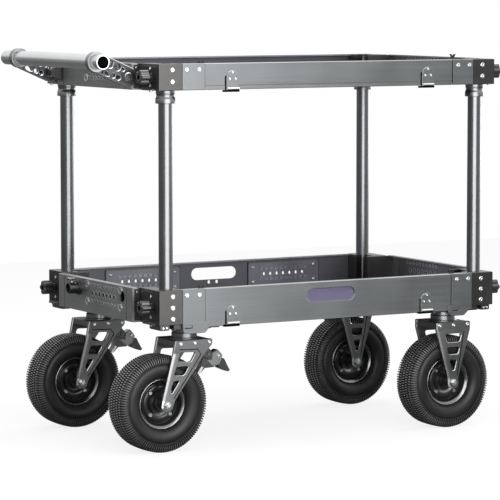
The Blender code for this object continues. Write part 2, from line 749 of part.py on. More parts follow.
def pipe_socket():
    """A short pipe socket that points to -X from the panel's face."""
    profile = [
        (SOCKET_RADIUS, -GAP),
        (SOCKET_FLANGE_RADIUS, -GAP),
        (SOCKET_FLANGE_RADIUS, -GAP - SOCKET_FLANGE),
        (SOCKET_RADIUS, -GAP - SOCKET_FLANGE),
        (SOCKET_RADIUS, -SOCKET_LENGTH),
        (SOCKET_BORE, -SOCKET_LENGTH),
        (SOCKET_BORE, -GAP),
    ]
    return turned(profile, 16, True, ALONG_X)


def handle_tube():
    """The push bar about the handle's pivot, open at both ends."""
    right = HANDLE_ARM_Y + HANDLE_STUB_RIGHT
    left = HANDLE_ARM_Y + HANDLE_STUB_LEFT
    outer = HANDLE_TUBE_RADIUS
    inner = outer - HANDLE_TUBE_WALL
    profile = [(outer, right), (outer, -left), (inner, -left), (inner, right)]
    return placed(turned(profile, HANDLE_STEPS, True, ALONG_Y), moved(-HANDLE_REACH, 0, HANDLE_RISE))


def handle_arm():
    """The left arm about the handle's pivot: a ring round the bar, a braced web and an eye."""
    ring = (-HANDLE_REACH, HANDLE_RISE)
    length = math.hypot(HANDLE_REACH, HANDLE_RISE)
    across = math.atan2(HANDLE_RISE, -HANDLE_REACH)
    outline = arc(HANDLE_RING_RADIUS - HANDLE_WEB_INSET, ring, across - math.pi / 2, across + math.pi / 2, 8)
    outline += arc(HANDLE_EYE_RADIUS, (0, 0), across + math.pi / 2, across + 3 * math.pi / 2, 8)

    def braced(along, aside):
        """A point that far along the arm from the eye and that far to one side."""
        unit = (math.cos(across), math.sin(across))
        return (unit[0] * along - unit[1] * aside, unit[1] * along + unit[0] * aside)

    rib = HANDLE_RIB
    start = HANDLE_PIN_RADIUS + HANDLE_EYE_WALL
    end = length - HANDLE_RING_RADIUS - rib
    middle = (start + end) / 2
    edge = HANDLE_EYE_RADIUS - 2 * rib
    windows = [
        [(start + 2 * rib, edge), (end - 2 * rib, edge), (middle, 2 * rib)],
        [(start + 2 * rib, -edge), (end - 2 * rib, -edge), (middle, -2 * rib)],
        [(start, edge - 2 * rib), (start, -edge + 2 * rib), (middle - 1.4 * rib, 0)],
        [(end, edge - 2 * rib), (end, -edge + 2 * rib), (middle + 1.4 * rib, 0)],
    ]
    holes = [[braced(*point) for point in window] for window in windows]
    holes.append(circle(running(HANDLE_PIN_RADIUS, 8), 8))
    half = HANDLE_ARM_THICKNESS / 2
    web = plate([outline] + holes, "Y", HANDLE_ARM_Y - half, HANDLE_ARM_Y + half)
    ring_half = HANDLE_RING_THICKNESS / 2
    collar = circle(HANDLE_RING_RADIUS, HANDLE_STEPS, ring)
    collar_plate = plate([collar], "Y", HANDLE_ARM_Y - ring_half, HANDLE_ARM_Y + ring_half)
    bore = rod(HANDLE_TUBE_RADIUS + SLIP, -CUT_PAST, CUT_PAST, HANDLE_STEPS, ALONG_Y)
    return combined(web, [collar_plate], [placed(bore, moved(ring[0], HANDLE_ARM_Y, ring[1]))])


def handle_bracket():
    """The left bracket about the pivot: a block on the panel's face with the pin that it holds."""
    back = HANDLE_PIVOT_OUT - GAP
    half = HANDLE_BRACKET_HALF_HEIGHT
    outer_y = HANDLE_ARM_Y - HANDLE_ARM_THICKNESS / 2 - GAP
    inner_y = outer_y - HANDLE_BRACKET_LENGTH
    nose = arc(HANDLE_BRACKET_NOSE, (0, 0), math.radians(110), math.radians(250), 6)
    outline = [(back, -half), (back, half)] + nose
    block = plate([outline], "Y", inner_y, outer_y)
    head_start = HANDLE_ARM_Y + HANDLE_ARM_THICKNESS / 2 + GAP
    pin = [
        (0, OVERLAP - outer_y),
        (HANDLE_PIN_RADIUS, OVERLAP - outer_y),
        (HANDLE_PIN_RADIUS, -head_start),
        (HANDLE_PIN_HEAD_RADIUS, -head_start),
        (HANDLE_PIN_HEAD_RADIUS, -head_start - HANDLE_PIN_HEAD),
        (0, -head_start - HANDLE_PIN_HEAD),
    ]
    return combined(block, [turned(pin, 8, False, ALONG_Y)])


def build_trays(cart):
    for tray, bottom, height in (
        ("lower", LOWER_BOTTOM, LOWER_HEIGHT),
        ("upper", UPPER_BOTTOM, UPPER_HEIGHT),
    ):
        lower = tray == "lower"
        block = corner_block(height, lower)
        panel = end_panel(height)
        for y_sign in (-1, 1):
            side = mirrored(rail(height, lower, y_sign > 0), 1, y_sign)
            cart.add(f"{tray}_rail_{side_name(y_sign)}", side, (0, y_sign * SIDE_Y, bottom), "rail")
        for x_sign in (-1, 1):
            end = mirrored(panel, x_sign, x_sign)
            cart.add(f"{tray}_end_panel_{end_name(x_sign)}", end, (x_sign * PANEL_X, 0, bottom), "rail")
            for y_sign in (-1, 1):
                name = f"{tray}_corner_block_{end_name(x_sign)}_{side_name(y_sign)}"
                corner = (x_sign * POST_X, y_sign * POST_Y, bottom)
                cart.add(name, mirrored(block, x_sign, y_sign), corner, "block")
        cart.add(f"{tray}_deck", deck(), (0, 0, bottom + FLANGE_THICKNESS + GAP), "deck")
    socket_z = LOWER_BOTTOM + PANEL_PORT_Z
    cart.add("pipe_socket", pipe_socket(), (-PANEL_X, SOCKET_Y, socket_z), "rail")


def build_uprights(cart):
    for x_sign in (-1, 1):
        for y_sign in (-1, 1):
            corner = f"{end_name(x_sign)}_{side_name(y_sign)}"
            foot = (x_sign * POST_X, y_sign * POST_Y, LOWER_BOTTOM + SOCKET_FLOOR + GAP)
            cart.add(f"post_{corner}", post(), foot, "post")
            for tray, middle in (
                ("lower", LOWER_BOTTOM + LOWER_HEIGHT / 2),
                ("upper", UPPER_BOTTOM + UPPER_HEIGHT / 2),
            ):
                seat = (x_sign * BLOCK_END_X, y_sign * POST_Y, middle)
                cart.add(f"{tray}_knob_{corner}", mirrored(star_knob(), x_sign, 1), seat, "knob")


def build_casters(cart):
    for x_sign in (-1, 1):
        swivel = x_sign < 0
        hub_x = x_sign * SWIVEL_X
        axle_x = hub_x - (TRAIL if swivel else 0)
        for y_sign in (-1, 1):
            corner = f"{end_name(x_sign)}_{side_name(y_sign)}"
            hub = (hub_x, y_sign * CASTER_Y, 0)
            centre = (axle_x, y_sign * CASTER_Y, AXLE_Z)
            kind = "swivel_fork" if swivel else "fixed_fork"
            cart.add(f"caster_mount_{corner}", mirrored(caster_mount(), 1, y_sign), hub, "fork")
            cart.add(f"{kind}_{corner}", fork(swivel), hub, "fork")
            cart.add(f"axle_{corner}", axle(), centre, "axle")
            cart.add(f"rim_{corner}", rim(), centre, "rim")
            cart.add(f"tyre_{corner}", tyre(), centre, "tyre")
            if swivel:
                pivot = (hub_x + BRAKE_PIVOT_DX, y_sign * CASTER_Y, BRAKE_PIVOT_Z)
                side = side_name(y_sign)
                cart.add(f"brake_bracket_{side}", brake_bracket(), hub, "fork")
                cart.add(f"brake_lever_{side}", brake_lever(), pivot, "knob")


def build_handle(cart):
    pivot = (HANDLE_PIVOT_X, 0, HANDLE_PIVOT_Z)
    cart.add("handle_bar", handle_tube(), pivot, "handle")
    for y_sign in (-1, 1):
        side = side_name(y_sign)
        cart.add(f"handle_arm_{side}", mirrored(handle_arm(), 1, y_sign), pivot, "handle")
        cart.add(f"handle_bracket_{side}", mirrored(handle_bracket(), 1, y_sign), pivot, "block")


clear_scene()
cart = Cart()
build_trays(cart)
build_uprights(cart)
build_casters(cart)
build_handle(cart)
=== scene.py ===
# %% [markdown]
# # A camera cart, dressed piece by piece
# This cart carries cameras, cases and monitors on a film set: two open metal trays on four tubes,
# a push handle, and four air-filled tyres. Its solids come from CAD, and they stay where they are.
# Each cell builds what the eye meets, in real metres and in the same place as the solid beneath it.

# %% Load the frame
import math

import bmesh
import bpy
from mathutils import Matrix, Vector


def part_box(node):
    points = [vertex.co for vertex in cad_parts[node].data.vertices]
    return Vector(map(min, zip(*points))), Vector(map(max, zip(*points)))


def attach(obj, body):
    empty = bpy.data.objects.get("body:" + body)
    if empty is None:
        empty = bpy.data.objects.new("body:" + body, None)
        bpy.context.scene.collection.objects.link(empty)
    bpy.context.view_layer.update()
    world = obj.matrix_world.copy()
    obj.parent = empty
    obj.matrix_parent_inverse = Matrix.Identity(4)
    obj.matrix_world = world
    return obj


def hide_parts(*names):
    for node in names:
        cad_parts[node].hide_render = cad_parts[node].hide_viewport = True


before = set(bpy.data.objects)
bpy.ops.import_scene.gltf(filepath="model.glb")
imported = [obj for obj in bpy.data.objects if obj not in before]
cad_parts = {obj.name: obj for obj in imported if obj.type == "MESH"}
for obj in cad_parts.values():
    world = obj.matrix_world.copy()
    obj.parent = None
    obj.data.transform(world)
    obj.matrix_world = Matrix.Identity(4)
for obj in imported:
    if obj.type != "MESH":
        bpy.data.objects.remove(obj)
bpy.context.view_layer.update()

# %% [markdown]
# ## Where things are
# The frame's origin lies under the middle of the whole length, handle included. The trays are drawn
# about their own middle, because their two ends mirror each other, and each finished piece is
# then carried along X by the same distance. The handle end is at -X and the nose at +X.

# %% Main sizes
rail_low, rail_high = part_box("lower_rail_right")
SHIFT = (rail_low.x + rail_high.x) / 2
SIDES = {"left": 1, "right": -1}
ENDS = {"front": 1, "rear": -1}
TRAYS = {"lower": (0.3335, 0.089), "upper": (0.9285, 0.0675)}
TRAY_BODY = {"lower": "base", "upper": "upper_tray"}
SIDE_Y = 0.323
PANEL_X = 0.530
BLOCK_END_X = 0.508
BLOCK_INNER_X = 0.442
BLOCK_INNER_Y = 0.2163
POST = (0.470, 0.285)
SEAM_X = 0.376
print("the trays' middle is", round(SHIFT * 1000, 2), "mm in front of the origin")

# %% [markdown]
# ## The camera
# The photograph was taken from far away with a long lens, so parallel edges stay nearly parallel.
# The camera's place, direction and lens were fitted to corners, holes and wheel rims of the cart.

# %% Camera
CAMERA_PLACE = (SHIFT - 3.8994, -6.7785, 1.2012)
CAMERA_YAW = 0.5151
CAMERA_PITCH = 0.0922
CAMERA_LENS = 208.66


def in_scene(name, data):
    """A new object in the scene, made of some data."""
    thing = bpy.data.objects.new(name, data)
    bpy.context.scene.collection.objects.link(thing)
    return thing


camera_data = bpy.data.cameras.new("camera")
camera_data.lens = CAMERA_LENS
camera_data.sensor_width = 36
camera_data.clip_end = 100
camera = in_scene("camera", camera_data)
camera.location = CAMERA_PLACE
camera.rotation_euler = (math.pi / 2 - CAMERA_PITCH, 0, -CAMERA_YAW)
bpy.context.scene.camera = camera
print("the camera stands", round(camera.location.length, 2), "m from the origin")

# %% [markdown]
# ## A short way to write nodes
# Materials, the world and Geometry Nodes are all node trees. The first helper adds one node, sets
# its sockets by name or number, and links those that are given another node's output, so a tree
# reads like a list of sentences. The other two add the kinds of node that are needed most.


# %% Node helpers
def node(tree, kind, settings=(), **inputs):
    """A new node in the tree. An input is a value or another node's output socket."""
    made = tree.nodes.new(kind)
    for name, value in dict(settings).items():
        setattr(made, name, value)
    for name, value in inputs.items():
        key = int(name[1:]) if name[0] == "i" and name[1:].isdigit() else name.replace("_", " ")
        if isinstance(value, bpy.types.NodeSocket):
            tree.links.new(value, made.inputs[key])
        else:
            made.inputs[key].default_value = value
    return made


def reckon(tree, operation, first, second):
    """One step of arithmetic on two values."""
    return node(tree, "ShaderNodeMath", {"operation": operation}, i0=first, i1=second).outputs[0]


def mapped(tree, value, low_in, high_in, low_out, high_out):
    """A value carried over from one range to another, and kept inside it."""
    return node(
        tree, "ShaderNodeMapRange", Value=value, i1=low_in, i2=high_in, i3=low_out, i4=high_out
    ).outputs[0]


print("the helpers for nodes are", node.__name__, reckon.__name__, "and", mapped.__name__)

# %% [markdown]
# ## Metal finishes
# Most of the cart is aluminium: blasted, then anodised in gunmetal or black. Blasting leaves a
# fine grain, and the extrusion leaves faint lines along the length. Both come from noise read in
# Object coordinates, so the grain keeps its real size on every piece. Machined edges and zinc
# screws are the same kind of metal with less colour and less grain. The machined edges are also
# made brighter than the metal alone, as a painted highlight along every chamfer.


# %% What every finish shares
def blank_material(name):
    """A new material, with its tree and its shader."""
    material = bpy.data.materials.new(name)
    material.use_nodes = True
    tree = material.node_tree
    return material, tree, tree.nodes["Principled BSDF"]


def place_on_piece(tree):
    """Where a point lies on its piece, in metres."""
    return node(tree, "ShaderNodeTexCoord").outputs["Object"]


def noise(tree, place, scale, detail):
    """Soft noise. A larger scale makes it finer."""
    return node(tree, "ShaderNodeTexNoise", Vector=place, Scale=scale, Detail=detail).outputs[0]


def coat(tree, shader, colour, shade, gloss):
    """The colour times a shade that varies, and a roughness that varies with it."""
    tint = node(tree, "ShaderNodeVectorMath", {"operation": "SCALE"}, i0=colour, Scale=shade)
    tree.links.new(tint.outputs[0], shader.inputs["Base Color"])
    tree.links.new(gloss, shader.inputs["Roughness"])


def roughen(tree, shader, height, strength, depth):
    """A bump on the surface, its depth in metres."""
    bump = node(tree, "ShaderNodeBump", Strength=strength, Distance=depth, Height=height)
    tree.links.new(bump.outputs[0], shader.inputs["Normal"])


print("a finish is a coat and a bump, both read in a piece's own metres")

# %% Metal
CLOUD_SCALE = 9
GRAIN_SCALE = 1500
GRAIN_DEPTH = 0.0002
CLOUD_RANGE = (0.6, 1.4)
SHADE_SPREAD = 0.10
GLOSS_SPREAD = 0.15


def metal(name, colour, roughness, grain=0.25, lines=None, metallic=1.0):
    """A metal with blasted grain and, if lines gives a direction's scale, faint drawn lines."""
    material, tree, shader = blank_material(name)
    place = place_on_piece(tree)
    cloud = noise(tree, place, CLOUD_SCALE, 4)
    streak = cloud
    if lines:
        drawn = node(tree, "ShaderNodeMapping", Vector=place, Scale=lines).outputs[0]
        streak = noise(tree, drawn, 1, 3)
    both = reckon(tree, "ADD", cloud, streak)
    shade = mapped(tree, both, *CLOUD_RANGE, 1 - SHADE_SPREAD, 1 + SHADE_SPREAD)
    gloss_low, gloss_high = roughness * (1 - GLOSS_SPREAD), roughness * (1 + GLOSS_SPREAD)
    gloss = mapped(tree, both, *CLOUD_RANGE, gloss_low, gloss_high)
    coat(tree, shader, colour, shade, gloss)
    roughen(tree, shader, noise(tree, place, GRAIN_SCALE, 2), grain, GRAIN_DEPTH)
    shader.inputs["Metallic"].default_value = metallic
    return material


ALONG_X = (3, 260, 260)
ALONG_Y = (260, 3, 260)
ALONG_Z = (260, 260, 3)
FINISH = {
    "rail": metal("satin_gunmetal", (0.198, 0.208, 0.212), 0.42, lines=ALONG_X),
    "panel": metal("satin_gunmetal_across", (0.320, 0.326, 0.328), 0.42, lines=ALONG_Y),
    "inside": metal("dark_gunmetal", (0.140, 0.143, 0.153), 0.50, lines=ALONG_X),
    "backing": metal("backing_plate_grey", (0.215, 0.217, 0.233), 0.45),
    "block": metal("black_anodised", (0.092, 0.089, 0.088), 0.36),
    # Lighter gunmetal along the rails' tops and the brackets' chamfers: a painted highlight
    "lip_highlight": metal("rolled_lip", (0.46, 0.47, 0.475), 0.34, lines=ALONG_X),
    "post": metal("polished_tube", (0.205, 0.210, 0.214), 0.30, grain=0.05, lines=ALONG_Z),
    "fork": metal("fork_grey", (0.163, 0.165, 0.168), 0.42),
    # Machined metal on chamfers, rings and tips, made brighter as a painted highlight
    "edge": metal("machined_edge", (0.76, 0.77, 0.78), 0.32, grain=0.1),
    "leg_edge": metal("milled_leg_edge", (0.33, 0.335, 0.34), 0.36, grain=0.15),
    # Grey bands on the wheels' rims: a painted reflection
    "flange": metal("gloss_black_flange", (0.17, 0.17, 0.173), 0.22, grain=0.03),
    "steel": metal("dull_steel", (0.38, 0.385, 0.39), 0.34, grain=0.15),
    "zinc": metal("zinc_screw", (0.86, 0.87, 0.88), 0.22, grain=0.08),
    "handle": metal("satin_aluminium", (0.62, 0.635, 0.64), 0.22, lines=ALONG_Y),
    "arm": metal("truss_grey", (0.25, 0.255, 0.26), 0.36),
    "truss": metal("truss_dark", (0.068, 0.070, 0.072), 0.38),
    "rim": metal("gloss_black_steel", (0.030, 0.030, 0.031), 0.20, grain=0.03, metallic=0.5),
}
print(len(FINISH), "metal finishes")

# %% [markdown]
# ## Rubber, plastic and matting
# These don't shine like metal. The tyres are black rubber with a soft, uneven gloss where hands
# and floors have rubbed them, the knobs are moulded in a glossy black with a fine leather-like
# grain, the blocks' end covers are a flat black, and the deck is covered with a ribbed
# violet-grey mat. A black without any shine is painted shade: it stands for the dark of seams,
# slits, grooves and holes, and it also colours a few small black parts. One recipe makes them
# all. For the mat, a wave takes the place of the noise in its bump, and gives the ribs.

# %% Soft finishes
SOFT_CLOUD_SCALE = 14
SOFT_CLOUD_RANGE = (0.3, 0.7)
BUMP_STRENGTH = 0.5


def matt(name, colour, roughness, bump_scale, bump_depth, spread=0.15, weave=False, shine=0.5):
    """A material without metal: cloudy colour and gloss, and a fine bump."""
    material, tree, shader = blank_material(name)
    place = place_on_piece(tree)
    cloud = noise(tree, place, SOFT_CLOUD_SCALE, 5)
    shade = mapped(tree, cloud, *SOFT_CLOUD_RANGE, 1 - spread, 1 + spread)
    gloss = mapped(tree, cloud, *SOFT_CLOUD_RANGE, roughness * 0.8, roughness * 1.15)
    coat(tree, shader, colour, shade, gloss)
    if weave:
        wave = node(tree, "ShaderNodeTexWave", Vector=place, Scale=bump_scale, Distortion=1.5, Detail=2)
        height = wave.outputs[1]
    else:
        height = noise(tree, place, bump_scale, 3)
    roughen(tree, shader, height, BUMP_STRENGTH, bump_depth)
    shader.inputs["Specular IOR Level"].default_value = shine
    return material


FINISH["tyre"] = matt("tyre_rubber", (0.013, 0.013, 0.0135), 0.44, 700, 0.0002, spread=0.3, shine=0.32)
FINISH["tread"] = matt("tread_rubber", (0.016, 0.016, 0.017), 0.38, 500, 0.0002, spread=0.3, shine=0.4)
# Lighter rubber for tread tops, worn and a painted highlight, and for the ribs, a painted highlight
FINISH["worn_and_highlit"] = matt("worn_rubber", (0.22, 0.22, 0.22), 0.42, 500, 0.0002, spread=0.3)
FINISH["rib"] = matt("rib_rubber", (0.080, 0.080, 0.080), 0.42, 500, 0.0002, spread=0.3, shine=0.4)
FINISH["plastic"] = matt("moulded_black", (0.020, 0.020, 0.021), 0.26, 1100, 0.0001, shine=1.0)
FINISH["mat"] = matt("deck_mat", (0.185, 0.158, 0.300), 0.85, 60, 0.0006, weave=True)
FINISH["cover"] = matt("flat_black", (0.006, 0.006, 0.006), 0.7, 400, 0.0001)
# Painted shade for seams, slits, grooves and the backs of holes, also used on small black parts
FINISH["dark"] = matt("seam_shadow", (0.004, 0.004, 0.004), 0.7, 400, 0.0001, shine=0.0)
print(len(FINISH), "finishes with the soft ones")

# %% [markdown]
# ## Tools for shaping sheet, bar and tube
# Three kinds of shape make the whole cart: plates cut from an outline, parts turned on a
# lathe, and chamfered blocks. A flat curve with holes makes a plate whose edges are all
# chamfered at once, and a Screw modifier turns a profile.

# %% Moving, painting and cleaning a mesh
WELD = 0.000005


def moved(mesh, x=0.0, y=0.0, z=0.0):
    """The same mesh, carried to another place."""
    mesh.transform(Matrix.Translation((x, y, z)))
    return mesh


def mirrored(mesh, x_sign=1, y_sign=1):
    """A copy for another corner of the cart, its faces still pointing out."""
    copy = mesh.copy()
    copy.transform(Matrix.Diagonal((x_sign, y_sign, 1, 1)))
    if x_sign * y_sign < 0:
        copy.flip_normals()
    return copy


def painted(mesh, *paints):
    """The same mesh, with these finishes in its material slots."""
    mesh.materials.clear()
    for paint in paints:
        mesh.materials.append(FINISH[paint])
    return mesh


def baked(thing):
    """The plain mesh that an object's modifiers make. The object itself is thrown away."""
    depsgraph = bpy.context.evaluated_depsgraph_get()
    mesh = bpy.data.meshes.new_from_object(thing.evaluated_get(depsgraph))
    bpy.data.objects.remove(thing, do_unlink=True)
    return mesh


def tidy(mesh):
    """The mesh with doubled corners welded and every face pointing out."""
    work = bmesh.new()
    work.from_mesh(mesh)
    bmesh.ops.remove_doubles(work, verts=work.verts, dist=WELD)
    bmesh.ops.recalc_face_normals(work, faces=work.faces)
    work.to_mesh(mesh)
    work.free()
    return mesh


print("corners nearer than", WELD * 1000, "mm are welded")

# %% Plates and bars
STANDS = {
    "X": Matrix(((0, 0, 1, 0), (1, 0, 0, 0), (0, 1, 0, 0), (0, 0, 0, 1))),
    "Y": Matrix.Rotation(math.pi / 2, 4, "X"),
    "Z": Matrix(),
}


def flat_curve(outlines, thickness, chamfer):
    """A filled curve with chamfered edges: the first outline is its rim, the others are holes."""
    curve = bpy.data.curves.new("outline", "CURVE")
    curve.dimensions = "2D"
    curve.fill_mode = "BOTH"
    curve.extrude = thickness / 2 - chamfer
    curve.bevel_depth = chamfer
    curve.bevel_resolution = 0
    curve.offset = -chamfer
    for outline in outlines:
        spline = curve.splines.new("POLY")
        spline.points.add(len(outline) - 1)
        for point, place in zip(spline.points, outline):
            point.co = (place[0], place[1], 0, 1)
        spline.use_cyclic_u = True
    return curve


def plate(outlines, axis, low, high, chamfer=0.0, paint="rail", edge=None):
    """A plate from low to high along an axis. Its chamfers may have a finish of their own."""
    mesh = tidy(baked(in_scene("outline", flat_curve(outlines, high - low, chamfer))))
    painted(mesh, paint, edge or paint)
    # A face that leans is a chamfer
    for face in mesh.polygons:
        face.material_index = int(0.1 < abs(face.normal.z) < 0.9)
    mesh.transform(STANDS[axis])
    return moved(mesh, **{axis.lower(): (low + high) / 2})


def bar(low, high, chamfer=0.0006, paint="rail", edge=None):
    """A block with chamfered edges."""
    outline = [(low[0], low[1]), (high[0], low[1]), (high[0], high[1]), (low[0], high[1])]
    return plate([outline], "Z", low[2], high[2], chamfer, paint, edge)


sample = bar((0, 0, 0), (0.1, 0.02, 0.005))
print("a chamfered bar has", len(sample.polygons), "faces")
bpy.data.meshes.remove(sample)

# %% Turned parts
LATHE = {
    "X": Matrix.Rotation(math.pi / 2, 4, "Y"),
    "Y": Matrix.Rotation(-math.pi / 2, 4, "X"),
    "Z": Matrix(),
}


def turned(profile, axis="Z", steps=48, paint="rail", closed=False):
    """A lathe-turned part. The profile lists (radius, place along the axis)."""
    mesh = bpy.data.meshes.new("profile")
    edges = [(i, i + 1) for i in range(len(profile) - 1)]
    if closed:
        edges.append((len(profile) - 1, 0))
    mesh.from_pydata([(radius, 0, height) for radius, height in profile], edges, [])
    holder = in_scene("profile", mesh)
    screw = holder.modifiers.new("turn", "SCREW")
    screw.steps = steps
    screw.render_steps = steps
    screw.use_merge_vertices = True
    screw.merge_threshold = 2 * WELD
    made = painted(tidy(baked(holder)), paint)
    made.transform(LATHE[axis])
    return made


def rod(radius, low, high, axis="Z", steps=24, chamfer=0.0005, paint="zinc"):
    """A solid round bar from low to high."""
    profile = [(0, low), (radius - chamfer, low), (radius, low + chamfer)]
    profile += [(radius, high - chamfer), (radius - chamfer, high), (0, high)]
    return turned(profile, axis, steps, paint)


sample = rod(0.005, 0, 0.02)
print("a turned rod has", len(sample.polygons), "faces")
bpy.data.meshes.remove(sample)


# %% Outlines
def arc_points(radius, centre, start, end, count):
    """Points along an arc between two angles in degrees."""
    points = []
    for step in range(count + 1):
        angle = math.radians(start + (end - start) * step / count)
        points.append((centre[0] + radius * math.cos(angle), centre[1] + radius * math.sin(angle)))
    return points


def ring_points(radius, count, centre=(0, 0)):
    """Points round a full circle."""
    points = []
    for step in range(count):
        angle = 2 * math.pi * step / count
        points.append((centre[0] + radius * math.cos(angle), centre[1] + radius * math.sin(angle)))
    return points


def slot_points(length, height, centre, steps=10):
    """A long hole with round ends."""
    radius = height / 2
    reach = length / 2 - radius
    right = arc_points(radius, (centre[0] + reach, centre[1]), -90, 90, steps)
    return right + arc_points(radius, (centre[0] - reach, centre[1]), 90, 270, steps)


def rounded(points, radius, steps=4):
    """The outline with each corner rounded by a short curve."""
    soft = []
    for before, corner, after in zip(points[-1:] + points[:-1], points, points[1:] + points[:1]):
        corner = Vector(corner)
        back = Vector(before) - corner
        ahead = Vector(after) - corner
        reach = min(radius, back.length * 0.45, ahead.length * 0.45)
        start = corner + back.normalized() * reach
        end = corner + ahead.normalized() * reach
        for step in range(steps + 1):
            t = step / steps
            soft.append(tuple(start * (1 - t) ** 2 + corner * 2 * t * (1 - t) + end * t * t))
    return soft


print("a slot's outline has", len(slot_points(0.1, 0.03, (0, 0))), "points")


# %% Cuts
def cut(base, cutters):
    """The base with the cutters taken out of it."""
    holder = in_scene("base", base)
    tools = []
    for cutter in cutters:
        tool = in_scene("cutter", cutter)
        step = holder.modifiers.new("cut", "BOOLEAN")
        step.operation = "DIFFERENCE"
        step.object = tool
        tools.append(tool)
    mesh = baked(holder)
    for tool in tools:
        bpy.data.objects.remove(tool, do_unlink=True)
    return mesh


sample = cut(bar((0, 0, 0), (0.1, 0.02, 0.005), 0), [bar((0.04, -0.01, -0.01), (0.06, 0.03, 0.01), 0)])
print("a bar cut in two has", len(sample.polygons), "faces")
bpy.data.meshes.remove(sample)

# %% [markdown]
# ## Putting pieces on the cart
# A finished piece is one mesh that holds all its plates, blocks and turned parts. It is carried
# to its place, its flat faces stay crisp and its round ones smooth, and it rides on the body
# that moves it. Where it stands for a CAD solid, that solid is no longer shown.

# %% Pieces
CORNERS = {
    f"{end}_{side}": (x_sign, y_sign) for end, x_sign in ENDS.items() for side, y_sign in SIDES.items()
}
MADE = {}


def joined(name, meshes):
    """One mesh out of many, with each material listed once."""
    slots = []
    work = bmesh.new()
    for mesh in meshes:
        places = []
        for material in mesh.materials:
            if material not in slots:
                slots.append(material)
            places.append(slots.index(material))
        copy = mesh.copy()
        for face in copy.polygons:
            face.material_index = places[face.material_index]
        work.from_mesh(copy)
        bpy.data.meshes.remove(copy)
    whole = bpy.data.meshes.new(name)
    work.to_mesh(whole)
    work.free()
    for material in slots:
        whole.materials.append(material)
    return whole


def piece(name, body, meshes, stands_for=(), crease=31):
    """Puts a finished piece on the cart."""
    mesh = moved(joined(name, meshes), x=SHIFT)
    mesh.shade_smooth()
    mesh.set_sharp_from_angle(angle=math.radians(crease))
    thing = in_scene(name, mesh)
    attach(thing, body)
    if stands_for:
        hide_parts(*stands_for)
    MADE[name] = thing


def show_made(*words):
    """Prints how many pieces have a word in their name, and their faces."""
    for word in words:
        faces = [len(thing.data.polygons) for name, thing in MADE.items() if word in name]
        print(len(faces), "pieces with", word, "in their name,", sum(faces), "faces")


print("the corners are", *CORNERS)

# %% [markdown]
# ## Screw heads from a node tree
# The cart has more than two hundred screws in a few sizes. A Geometry Nodes tree makes one
# button head with its recess, out of a cylinder whose top is drawn in twice and then sunk, and
# stands a copy on every point, turned to that point's own direction. Each row of the table
# below is a head's radius, its height, its recess as a share of its top, and its sides.


# %% Building and running a tree
def new_tree(name, sizes):
    """A Geometry Nodes tree with named inputs. Returns the tree, its inputs and its output node."""
    tree = bpy.data.node_groups.new(name, "GeometryNodeTree")
    tree.interface.new_socket("Geometry", in_out="INPUT", socket_type="NodeSocketGeometry")
    tree.interface.new_socket("Geometry", in_out="OUTPUT", socket_type="NodeSocketGeometry")
    for label, kind in sizes.items():
        tree.interface.new_socket(label, in_out="INPUT", socket_type="NodeSocket" + kind)
    start = node(tree, "NodeGroupInput")
    return tree, start.outputs, node(tree, "NodeGroupOutput")


def run_tree(mesh, tree, **values):
    """The plain mesh that a tree makes of a mesh, with its named inputs set."""
    holder = in_scene("holder", mesh)
    step = holder.modifiers.new("nodes", "NODES")
    step.node_group = tree
    for item in tree.interface.items_tree:
        if item.in_out == "INPUT" and item.name.replace(" ", "_") in values:
            step[item.identifier] = values[item.name.replace(" ", "_")]
    return baked(holder)


print("a tree's inputs are named, and its result is made a plain mesh by", run_tree.__name__)


# %% The screw tree
HEAD_WALL = 0.6
DOME_SHRINK = 0.78


def stand_on_points(tree, given, out, points, shape, turn):
    """Ends a tree: the shape on every point, made real, in the finish that was given."""
    spots = node(tree, "GeometryNodeInstanceOnPoints", Points=points, Instance=shape, Rotation=turn)
    real = node(tree, "GeometryNodeRealizeInstances", Geometry=spots.outputs[0]).outputs[0]
    done = node(tree, "GeometryNodeSetMaterial", Geometry=real, Material=given["Finish"]).outputs[0]
    tree.links.new(done, out.inputs[0])


def screw_tree():
    """A screw head on every point of a mesh, along the point's attribute called aim."""
    tree, given, out = new_tree(
        "screw_heads",
        {"Radius": "Float", "Height": "Float", "Recess": "Float", "Sides": "Int", "Finish": "Material"},
    )
    head = node(tree, "GeometryNodeMeshCylinder", Vertices=given["Sides"], Radius=given["Radius"])
    wall = reckon(tree, "MULTIPLY", given["Height"], HEAD_WALL)
    dome = reckon(tree, "MULTIPLY", given["Height"], 1 - HEAD_WALL)
    sunk = reckon(tree, "MULTIPLY", given["Height"], -HEAD_WALL)
    tree.links.new(wall, head.inputs["Depth"])
    up = node(tree, "ShaderNodeCombineXYZ", Z=reckon(tree, "MULTIPLY", wall, 0.5)).outputs[0]
    shape = node(tree, "GeometryNodeTransform", Geometry=head.outputs["Mesh"], Translation=up).outputs[0]
    top = head.outputs["Top"]
    for offset, scale in ((dome, DOME_SHRINK), (0.0, given["Recess"]), (sunk, 1.0)):
        pulled = node(tree, "GeometryNodeExtrudeMesh", Mesh=shape, Selection=top, Offset_Scale=offset).outputs
        top = pulled["Top"]
        drawn = node(tree, "GeometryNodeScaleElements", Geometry=pulled["Mesh"], Selection=top, Scale=scale)
        shape = drawn.outputs[0]
    aim = node(tree, "GeometryNodeInputNamedAttribute", {"data_type": "FLOAT_VECTOR"}, Name="aim").outputs[0]
    turn = node(tree, "FunctionNodeAlignRotationToVector", {"axis": "Z"}, Vector=aim).outputs[0]
    stand_on_points(tree, given, out, given["Geometry"], shape, turn)
    return tree


SCREW_TREE = screw_tree()
print("the screw tree has", len(SCREW_TREE.nodes), "nodes")

